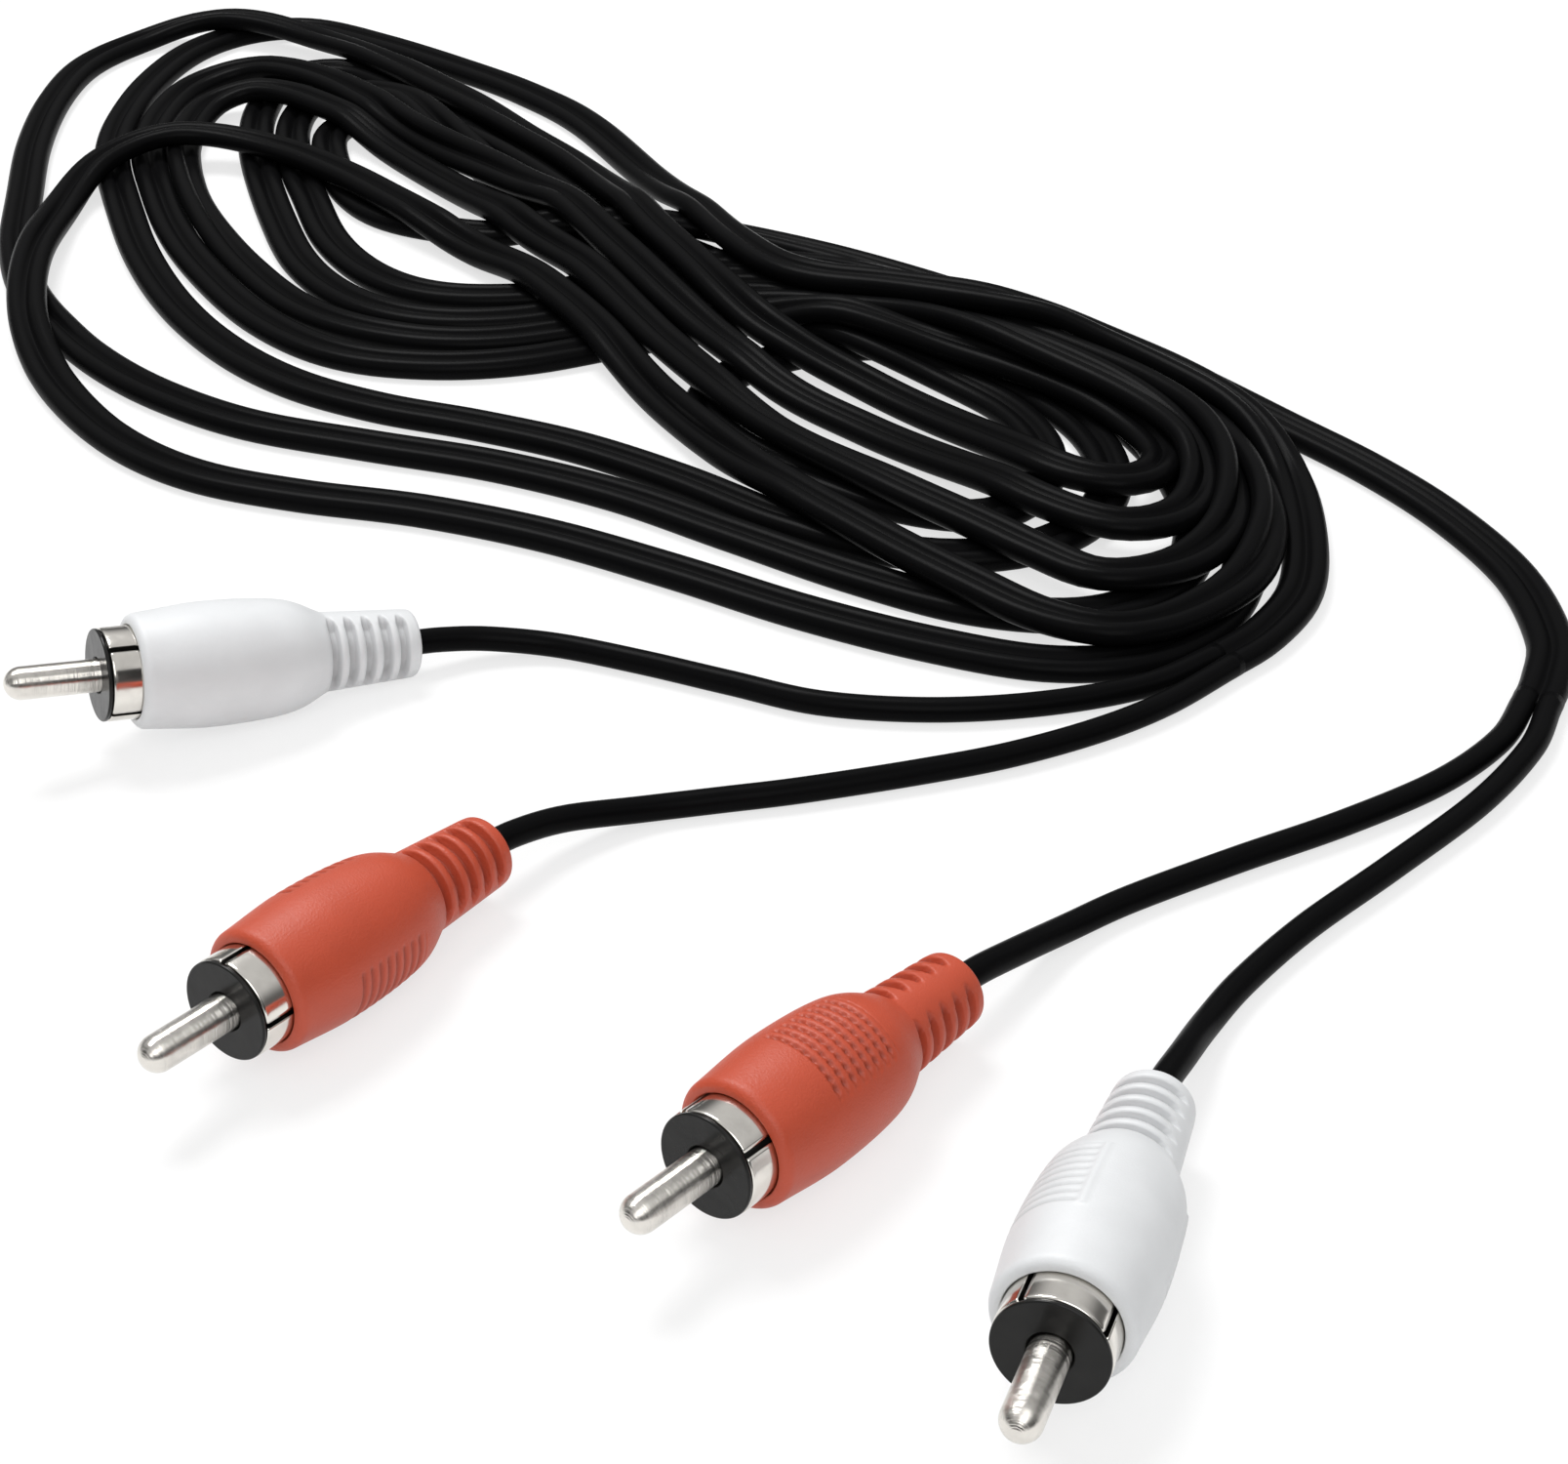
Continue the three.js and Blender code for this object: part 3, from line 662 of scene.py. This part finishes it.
def swept(name, line, side, section):
    """A tube whose section follows a line, in millimetres, with a UV map along and around it."""
    face_up = np.cross(tangents(line), side)
    rings = (
        line[:, None]
        + section[None, :, :1] * side[:, None]
        + section[None, :, 1:] * face_up[:, None]
    )
    piece = lofted(name, rings, caps=True)
    travelled = lengths(line)
    count = len(section)
    jacket = piece.data.uv_layers.new(name="jacket")
    corner_of = np.empty(len(piece.data.loops), int)
    piece.data.loops.foreach_get("vertex_index", corner_of)
    around = (corner_of % count) * STREAKS_AROUND
    along = travelled[corner_of // count] * STREAKS_ALONG
    jacket.data.foreach_set("uv", np.column_stack([around, along]).ravel())
    return piece


def lofted(name, rings, caps=False, closed=False, mark=None):
    """A smooth mesh through rings of points in millimetres, capped or joined end to end."""
    rounds, count = rings.shape[:2]
    vertices = rings.reshape(-1, 3) * MM
    row = np.arange(rounds if closed else rounds - 1)[:, None]
    column = np.arange(count)[None]
    onward = (row + 1) % rounds
    beside = (column + 1) % count
    corners = [
        row * count + column, row * count + beside,
        onward * count + beside, onward * count + column,
    ]
    faces = np.stack([np.broadcast_to(c, (len(row), count)) for c in corners], 2)
    faces = faces.reshape(-1, 4).tolist()
    if caps:
        faces.append(list(range(count))[::-1])
        faces.append(list(range((rounds - 1) * count, rounds * count)))
    mesh = bpy.data.meshes.new(name)
    mesh.from_pydata(vertices.tolist(), [], faces)
    mesh.polygons.foreach_set("use_smooth", [len(face) == 4 for face in faces])
    if mark:
        label, values = mark
        mesh.attributes.new(label, "FLOAT", "POINT").data.foreach_set("value", values.ravel())
    mesh.update()
    piece = bpy.data.objects.new(name, mesh)
    bpy.context.collection.objects.link(piece)
    return piece


def finish_piece(piece, material, slot, *solids):
    """Gives a new piece its material, and lets it stand for its solids."""
    piece.data.materials.append(material)
    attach(piece, "root")
    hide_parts(*solids)
    return piece


def finishes():
    """The materials, made once."""
    plug = bpy.context.scene.plug_settings
    cable = bpy.context.scene.cable_settings
    made = bpy.data.materials
    if "cable_jacket" not in made:
        moulded_pvc("white_moulding", plug.white, 0.02)
        moulded_pvc("red_moulding", plug.red, 0.05)
        nickel_plate("turned_nickel", plug.nickel, 0.05)
        nickel_plate("rolled_nickel", plug.nickel, 0.004)
        gloss_black()
        cable_jacket(cable)
        plain_finish("bare_copper", (0.72, 0.36, 0.18), 0.3, 1.0)
        plain_finish("natural_plastic", (0.8, 0.76, 0.66), 0.55)
    return made


def plug_place(name):
    """Matrix from a plug's own frame, with depth along Y, to the shared frame, in millimetres."""
    plug = PLUGS[name]
    swing = Matrix.Rotation(math.radians(plug.heading - 90), 4, "Z")
    lift = Matrix.Rotation(math.radians(-plug.tilt), 4, "X")
    spin = Matrix.Rotation(math.radians(plug.roll), 4, "Y")
    return Matrix.Translation(plug.front) @ swing @ lift @ spin


def cornered(profile):
    """The profile with a point close to each end of its long straight parts, so that they shade flat."""
    points = [np.array(profile[0], float)]
    for end in np.array(profile[1:], float):
        span = end - points[-1]
        size = np.linalg.norm(span)
        if size > 6 * CORNER:
            points += [points[-1] + span * CORNER / size, end - span * CORNER / size]
        points.append(end)
    return points


def lathe(profile, facets):
    """Rings about Y through radius, depth pairs. Order runs so that faces look outward."""
    angles = np.arange(facets) * 2 * math.pi / facets
    rings = np.empty((len(profile), facets, 3))
    for ring, (radius, depth) in zip(rings, profile):
        ring[:, 0] = radius * np.cos(angles)
        ring[:, 1] = depth
        ring[:, 2] = radius * np.sin(angles)
    return rings


def put(rings, name):
    """Rings moved from the plug's own frame into place."""
    matrix = np.array(plug_place(name))
    return rings @ matrix[:3, :3].T + matrix[:3, 3]


def arc(centre, radius, start, end, steps):
    """Radius, depth pairs on an arc, angles in degrees from outward towards greater depth."""
    turns = np.radians(np.linspace(start, end, steps + 1))
    return [(centre[0] + radius * math.cos(a), centre[1] + radius * math.sin(a)) for a in turns]


def step_up(value, start, end):
    """Smooth step from 0 at start to 1 at end."""
    share = np.clip((value - start) / (end - start), 0, 1)
    return share * share * (3 - 2 * share)


def barrel_radius(depth):
    """Radius of the outer line at a depth, from the lip to the end of the relief."""
    line = spline([(d, r, 0) for d, r in BARREL], OUTLINE_STEP)
    share = (depth - RELIEF_START) / (BODY_END - RELIEF_START)
    taper = RELIEF_RADIUS + (RELIEF_END_RADIUS - RELIEF_RADIUS) * share
    return np.where(depth < RELIEF_START, np.interp(depth, line[:, 0], line[:, 1]), taper)


def body_depths():
    """Depths of the rings along the outer line, close together where there is relief."""
    depths = list(np.arange(LIP_ROUND + BODY_FRONT, GRIP_START, BARREL_STEP))
    depths += list(np.arange(GRIP_START, GRIP_END, GRIP_STEP))
    depths += list(np.arange(GRIP_END, SLOT_START, SHOULDER_STEP))
    for i in range(SLOT_COUNT):
        middle = SLOT_START + (i + 0.5) * SLOT_PITCH
        reach = SLOT_WIDTH / 2 + 1.5 * SLOT_WALL
        depths += list(np.linspace(middle - reach, middle + reach, SLOT_RINGS))
        depths.append(middle + SLOT_PITCH / 2)
    return np.array(sorted(d for d in depths if d < BODY_END - RELIEF_ROUND))


def off_upright(angle, turn):
    """Angle in degrees between a direction about the axis and the nearer end of a turned upright line."""
    upright = math.pi / 2 - math.radians(turn)
    return np.degrees(np.arccos(np.clip(np.abs(np.cos(angle - upright)), 0, 1)))


def relief(depth, angle, slot_turn, grip_turn):
    """Shares of the full depth of slots and grip grooves, and height of the bars beside the grip."""
    index = np.clip(np.floor((depth - SLOT_START) / SLOT_PITCH), 0, SLOT_COUNT - 1)
    off_middle = np.abs(depth - SLOT_START - (index + 0.5) * SLOT_PITCH)
    along_slot = step_up(off_upright(angle, slot_turn), RIB_HALF_ANGLE, RIB_HALF_ANGLE + RIB_RAMP)
    half_width = SLOT_WIDTH / 2 * (SLOT_NARROWEST + (1 - SLOT_NARROWEST) * along_slot)
    in_slot = 1 - step_up(off_middle, half_width - SLOT_WALL, half_width + SLOT_WALL)
    slot = in_slot * along_slot
    from_pad = off_upright(angle, grip_turn)
    on_pad = 1 - step_up(from_pad, GRIP_HALF_ANGLE - GRIP_RAMP, GRIP_HALF_ANGLE)
    begun = step_up(depth, GRIP_START, GRIP_START + GRIP_FADE)
    in_grip = begun * (1 - step_up(depth, GRIP_END - GRIP_FADE, GRIP_END))
    wave = 0.5 - 0.5 * np.cos(2 * math.pi * (depth - GRIP_START) / GRIP_PITCH)
    grip = on_pad * in_grip * wave**2
    off_bar = np.abs(from_pad - GRIP_HALF_ANGLE - BAR_ANGLE / 2)
    bar = in_grip * (1 - step_up(off_bar, BAR_ANGLE / 4, BAR_ANGLE / 2))
    return slot, grip, bar


def moulding(name, grip_depth):
    """Barrel, shoulder and relief of one plug as a single closed moulding."""
    angles = np.arange(BODY_FACETS) * 2 * math.pi / BODY_FACETS
    depths = body_depths()
    depth, angle = np.meshgrid(depths, angles, indexing="ij")
    plug = PLUGS[name]
    slot, grip, bar = relief(depth, angle, plug.slot_turn - plug.roll, plug.grip_turn - plug.roll)
    hatching = plug.hatching * (0.5 + 0.5 * np.cos(HATCH_TURNS * angle))
    grip = grip * plug.grip * (1 - hatching)
    radius = barrel_radius(depth) - slot * SLOT_DEPTH - grip * grip_depth + bar * plug.bars * BAR_HEIGHT
    outer = np.stack([radius * np.cos(angle), depth, radius * np.sin(angle)], 2)
    lip = [
        (RING_BORE, BODY_FRONT + 1.5 * CHAMFER), (RING_BORE, BODY_FRONT + CHAMFER),
        (RING_BORE + CHAMFER, BODY_FRONT),
    ]
    lip += arc((LIP_RADIUS - LIP_ROUND, BODY_FRONT + LIP_ROUND), LIP_ROUND, -90, 0, 8)[:-1]
    end_radius = RELIEF_END_RADIUS - RELIEF_ROUND
    back = arc((end_radius, BODY_END - RELIEF_ROUND), RELIEF_ROUND, 0, 90, 6)
    back += [
        (LEAD_BORE + CHAMFER, BODY_END), (LEAD_BORE, BODY_END - CHAMFER),
        (LEAD_BORE, MOULD_BORE_END), (MOULD_BORE, MOULD_BORE_END),
        (MOULD_BORE, MOULD_BORE_START), (RING_BORE, MOULD_BORE_START),
    ]
    rings = np.concatenate([lathe(lip, BODY_FACETS), outer, lathe(back, BODY_FACETS)])
    # Mask of painted shade: the share of slot or groove depth at each point, stored on the mesh for the
    # material to darken.
    shade = np.zeros(rings.shape[:2])
    shade[len(lip):len(lip) + len(depths)] = np.minimum(np.maximum(slot, grip), 1)
    mark = ("painted_groove_shade", shade[:, ::-1])
    return lofted(f"{name}_moulding", put(rings, name)[:, ::-1], closed=True, mark=mark)


def pin(name):
    """Solid pin with its rounded nose."""
    nose = arc((0, -PIN_REACH + PIN_RADIUS), PIN_RADIUS, -88, 0, 14)
    profile = [*nose, (PIN_RADIUS, -PIN_STRAIGHT), (PIN_RADIUS, PIN_SHANK_DEPTH)]
    rings = lathe(cornered(profile), METAL_FACETS)[:, ::-1]
    return lofted(f"{name}_pin", put(rings, name), caps=True, mark=("station", rings[..., 1]))


def insulator(name):
    """Gloss disc inside the ring, with its boss behind and the pin's bore."""
    bore = PIN_RADIUS + CLEARANCE / 2
    profile = [
        (bore, CHAMFER), (bore + CHAMFER, 0), (FLANGE_RADIUS - FLANGE_EDGE, 0),
        *arc((FLANGE_RADIUS - FLANGE_EDGE, FLANGE_EDGE), FLANGE_EDGE, -90, 0, 5)[1:],
        (FLANGE_RADIUS, FLANGE_THICKNESS), (BOSS_RADIUS, FLANGE_THICKNESS),
        (BOSS_RADIUS, INSULATOR_DEPTH), (bore, INSULATOR_DEPTH),
    ]
    rings = put(lathe(cornered(profile), METAL_FACETS), name)[:, ::-1]
    return lofted(f"{name}_disc", rings, closed=True)


def contact_ring(name):
    """Rolled ring: four fingers parted by slots, on a whole band behind."""
    inner = RING_RADIUS - RING_WALL
    front = [
        (inner, RING_SLOT_END), (inner, RING_FRONT + CHAMFER / 2),
        (inner + CHAMFER / 2, RING_FRONT),
    ]
    front += arc((RING_RADIUS - RING_BEVEL, RING_FRONT + RING_BEVEL), RING_BEVEL, -90, 0, 6)
    front += [(RING_RADIUS, RING_FRONT + RING_SHOULDER), (RING_RADIUS, RING_SLOT_END)]
    section = np.array(cornered([*front, (inner, RING_SLOT_END)])[:-1])
    gap = RING_SLOT_WIDTH / RING_RADIUS
    share = 2 * math.pi / RING_SLOTS
    fingers = []
    for k in range(RING_SLOTS):
        start = (k + 0.5) * share + gap / 2
        turns = np.linspace(start, start + share - gap, METAL_FACETS // RING_SLOTS + 1)
        rings = np.stack([
            np.column_stack([section[:, 0] * math.cos(a), section[:, 1], section[:, 0] * math.sin(a)])
            for a in turns
        ])
        fingers.append(lofted(f"{name}_finger_{k}", put(rings, name), caps=True))
    band = [
        (inner, RING_SLOT_END), (RING_RADIUS, RING_SLOT_END),
        (RING_RADIUS, RING_END), (inner, RING_END),
    ]
    rings = put(lathe(cornered(band), METAL_FACETS), name)[:, ::-1]
    whole = lofted(f"{name}_ring", rings, closed=True)
    with bpy.context.temp_override(
        active_object=whole, selected_editable_objects=[whole, *fingers], object=whole
    ):
        bpy.ops.object.join()
    return whole


class CABLE_OT_twin(bpy.types.Operator):
    """Lays the twin cable in its hank and lets it settle on to itself"""

    bl_idname = "audio_cable.twin"
    bl_label = "Twin cable"

    def execute(self, context):
        middle, side = settled(TWIN_ROUTE)
        piece = swept("twin_cable", middle, side, twin_section())
        finish_piece(
            piece, finishes()["cable_jacket"], "cable_pvc", "cable_hank", "end_b_twin_cable"
        )
        middle[0] * MM
        middle * MM
        # For the leads: where the two lobes end, and the step from there into the cable
        half = side * LOBE_SPACING / 2
        for key, i, inward in (("end_a", 0, 1), ("end_b", -1, -2)):
            lobes = [middle[i] + half[i], middle[i] - half[i]]
            step_in = middle[inward] - middle[i]
            piece[key] = np.concatenate([*lobes, step_in]).tolist()
        return {"FINISHED"}


class CABLE_OT_leads(bpy.types.Operator):
    """Runs the four single leads from the plugs to the splits of the twin cable"""

    bl_idname = "audio_cable.leads"
    bl_label = "Leads"

    def execute(self, context):
        for name, route in LEAD_ROUTES.items():
            place = plug_place(name)
            exit_point = place @ Vector((0, BODY_END - 1, 0))
            mouth = place @ Vector((0, BODY_END + CLEARANCE, 0))
            straight = place @ Vector((0, BODY_END + CLEARANCE + LEAD_STRAIGHT, 0))
            ends = np.array(bpy.data.objects["twin_cable"][name[:5]]).reshape(3, 3)
            lobe = min(ends[:2], key=lambda end: np.linalg.norm(end - route[-1]))
            points = [tuple(mouth), tuple(straight), *route[:-1], tuple(lobe), tuple(lobe + ends[2])]
            line = np.vstack([np.array(exit_point)[None], spline(points, LEAD_STEP)])
            level = np.cross([0, 0, 1.0], tangents(line))
            piece = swept(f"{name}_jacket", line, across(line, level), round_section())
            finish_piece(piece, finishes()["cable_jacket"], "cable_pvc", f"{name}_lead")
        return {"FINISHED"}


class CABLE_OT_mouldings(bpy.types.Operator):
    """Makes the moulded bodies with their relief slots and grip pads"""

    bl_idname = "audio_cable.mouldings"
    bl_label = "Moulded bodies"

    def execute(self, context):
        grip_depth = context.scene.plug_settings.grip_depth / MM
        for name, plug in PLUGS.items():
            piece = moulding(name, grip_depth)
            material = finishes()[f"{plug.colour}_moulding"]
            finish_piece(piece, material, f"{plug.colour}_pvc", f"{name}_moulded_body")
        return {"FINISHED"}


class CABLE_OT_metal(bpy.types.Operator):
    """Makes the pins, the contact rings and the insulators"""

    bl_idname = "audio_cable.metal"
    bl_label = "Pins, rings and insulators"

    def execute(self, context):
        made = finishes()
        for name in PLUGS:
            finish_piece(pin(name), made["turned_nickel"], "nickel", f"{name}_centre_pin")
            finish_piece(contact_ring(name), made["rolled_nickel"], "nickel", f"{name}_contact_ring")
            disc = insulator(name)
            finish_piece(disc, made["gloss_black_plastic"], "black_plastic", f"{name}_insulator")
        return {"FINISHED"}


class CABLE_OT_inside(bpy.types.Operator):
    """Gives the pieces sealed inside the plugs their materials"""

    bl_idname = "audio_cable.inside"
    bl_label = "Inner pieces"

    def execute(self, context):
        made = finishes()
        for name in PLUGS:
            for piece, material in INSIDE.items():
                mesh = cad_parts[f"{name}_{piece}"].data
                mesh.materials.clear()
                mesh.materials.append(made[material])
        return {"FINISHED"}


def aim(holder, place, target):
    """Puts a lamp or a card at its place and turns its front to the target."""
    holder.location = place
    holder.rotation_euler = (Vector(target) - Vector(place)).to_track_quat("-Z", "Y").to_euler()


def area_lamp(name, power, place, target, size):
    lamp = bpy.data.lights.new(name, "AREA")
    lamp.shape = "RECTANGLE"
    lamp.size, lamp.size_y = size
    lamp.energy = power
    holder = bpy.data.objects.new(name, lamp)
    aim(holder, place, target)
    bpy.context.collection.objects.link(holder)


def stage_plane(name, size, material):
    """A flat rectangle of the studio, about the origin."""
    mesh = bpy.data.meshes.new(name)
    signs = ((-1, -1), (1, -1), (1, 1), (-1, 1))
    mesh.from_pydata([(x * size[0] / 2, y * size[1] / 2, 0) for x, y in signs], [], [(0, 1, 2, 3)])
    mesh.materials.append(material)
    plane = bpy.data.objects.new(name, mesh)
    bpy.context.collection.objects.link(plane)
    return plane


def seen_directly(sheet):
    """1 for rays from the camera, mirrors and glass, 0 for the light that falls on things."""
    kinds = ("Is Camera Ray", "Is Glossy Ray", "Is Transmission Ray")
    camera, glossy, glass = [sheet.node("ShaderNodeLightPath", output=kind) for kind in kinds]
    return (camera + glossy + glass).at_most(1)


class CABLE_OT_studio(bpy.types.Operator):
    """Sets the floor, the soft lamps, the sky and the camera"""

    bl_idname = "audio_cable.studio"
    bl_label = "Studio"

    def execute(self, context):
        settings = context.scene.studio_settings
        self.floor()
        self.sky(context.scene, settings.sky)
        area_lamp("key_lamp", settings.key_power, *KEY_LAMP)
        area_lamp("fill_lamp", settings.fill_power, *FILL_LAMP)
        for name, (place, size) in CARDS.items():
            self.card(name, place, size)
        self.camera(context.scene)
        context.scene.view_settings.view_transform = "Standard"
        return {"FINISHED"}

    def card(self, name, place, size):
        """A black card out of the camera's sight, which darkens part of what the metal mirrors."""
        sheet = MaterialSheet(name, Base_Color=CARD_COLOUR, Roughness=1.0)
        card = stage_plane(name, size, sheet.material)
        aim(card, place, (0, 0, 0))
        card.visible_camera = False

    def floor(self):
        """A pale floor that keeps the shadows and glows a little where it is seen."""
        sheet = MaterialSheet("paper_floor", Base_Color=FLOOR_COLOUR, Roughness=0.9)
        share = FLOOR_GLOW * seen_directly(sheet)
        glow = sheet.node("ShaderNodeEmission")
        blend = sheet.node("ShaderNodeMixShader", None, {0: share, 1: sheet.surface, 2: glow})
        sheet.feed(sheet.output.inputs["Surface"], blend)
        stage_plane("floor", FLOOR_SIZE, sheet.material)

    def sky(self, scene, strength):
        """A sky that is brighter above than at its edge, and white where the camera sees it."""
        world = bpy.data.worlds.new("studio_sky")
        world.use_nodes = True
        scene.world = world
        sheet = NodeSheet(world.node_tree)
        around = sheet.node("ShaderNodeTexCoord", output="Generated")
        level = sheet.node("ShaderNodeSeparateXYZ", None, {0: around}, "Z")
        light = sheet.node("ShaderNodeMapRange", {"interpolation_type": "SMOOTHSTEP"}, {
            "Value": level, "From Min": SKY_LOW, "From Max": SKY_HIGH,
            "To Min": SKY_SHARE_BELOW * strength, "To Max": SKY_SHARE_ABOVE * strength,
        })
        camera = sheet.node("ShaderNodeLightPath", output="Is Camera Ray")
        white = sheet.node("ShaderNodeMapRange", None, {"Value": camera, "To Min": light, "To Max": 1})
        background = world.node_tree.nodes["Background"]
        sheet.feed(background.inputs["Strength"], white)
        sheet.feed(background.inputs["Color"], (1, 1, 1, 1))

    def camera(self, scene):
        data = bpy.data.cameras.new("camera")
        data.sensor_fit = "HORIZONTAL"
        data.sensor_width = SENSOR_WIDTH
        data.lens = CAMERA_LENS
        data.clip_start = NEAREST_SEEN
        camera = bpy.data.objects.new("camera", data)
        camera.location = EYE * MM
        camera.rotation_euler = (math.radians(90 - CAMERA_PITCH), 0, 0)
        bpy.context.collection.objects.link(camera)
        scene.camera = camera


OPERATORS = [
    CABLE_OT_twin, CABLE_OT_leads, CABLE_OT_mouldings, CABLE_OT_metal, CABLE_OT_inside,
    CABLE_OT_studio,
]
GROUPS = {
    "cable_settings": CableSettings,
    "plug_settings": PlugSettings,
    "studio_settings": StudioSettings,
}


class CABLE_PT_panel(bpy.types.Panel):
    """Lists the pieces of the cable and their settings"""

    bl_idname = "CABLE_PT_panel"
    bl_label = "Audio Cable"
    bl_space_type = "VIEW_3D"
    bl_region_type = "UI"
    bl_category = "Audio Cable"

    def draw(self, context):
        for name, group in GROUPS.items():
            for setting in group.__annotations__:
                self.layout.prop(getattr(context.scene, name), setting)
        for operator in OPERATORS:
            self.layout.operator(operator.bl_idname)


def register():
    for name, group in GROUPS.items():
        bpy.utils.register_class(group)
        setattr(bpy.types.Scene, name, PointerProperty(type=group))
    for each in (*OPERATORS, CABLE_PT_panel):
        bpy.utils.register_class(each)


def unregister():
    for each in (CABLE_PT_panel, *reversed(OPERATORS)):
        bpy.utils.unregister_class(each)
    for name, group in GROUPS.items():
        delattr(bpy.types.Scene, name)
        bpy.utils.unregister_class(group)


def main():
    register()
    for operator in OPERATORS:
        group, name = operator.bl_idname.split(".")
        getattr(getattr(bpy.ops, group), name)()


if __name__ == "__main__":
    main()
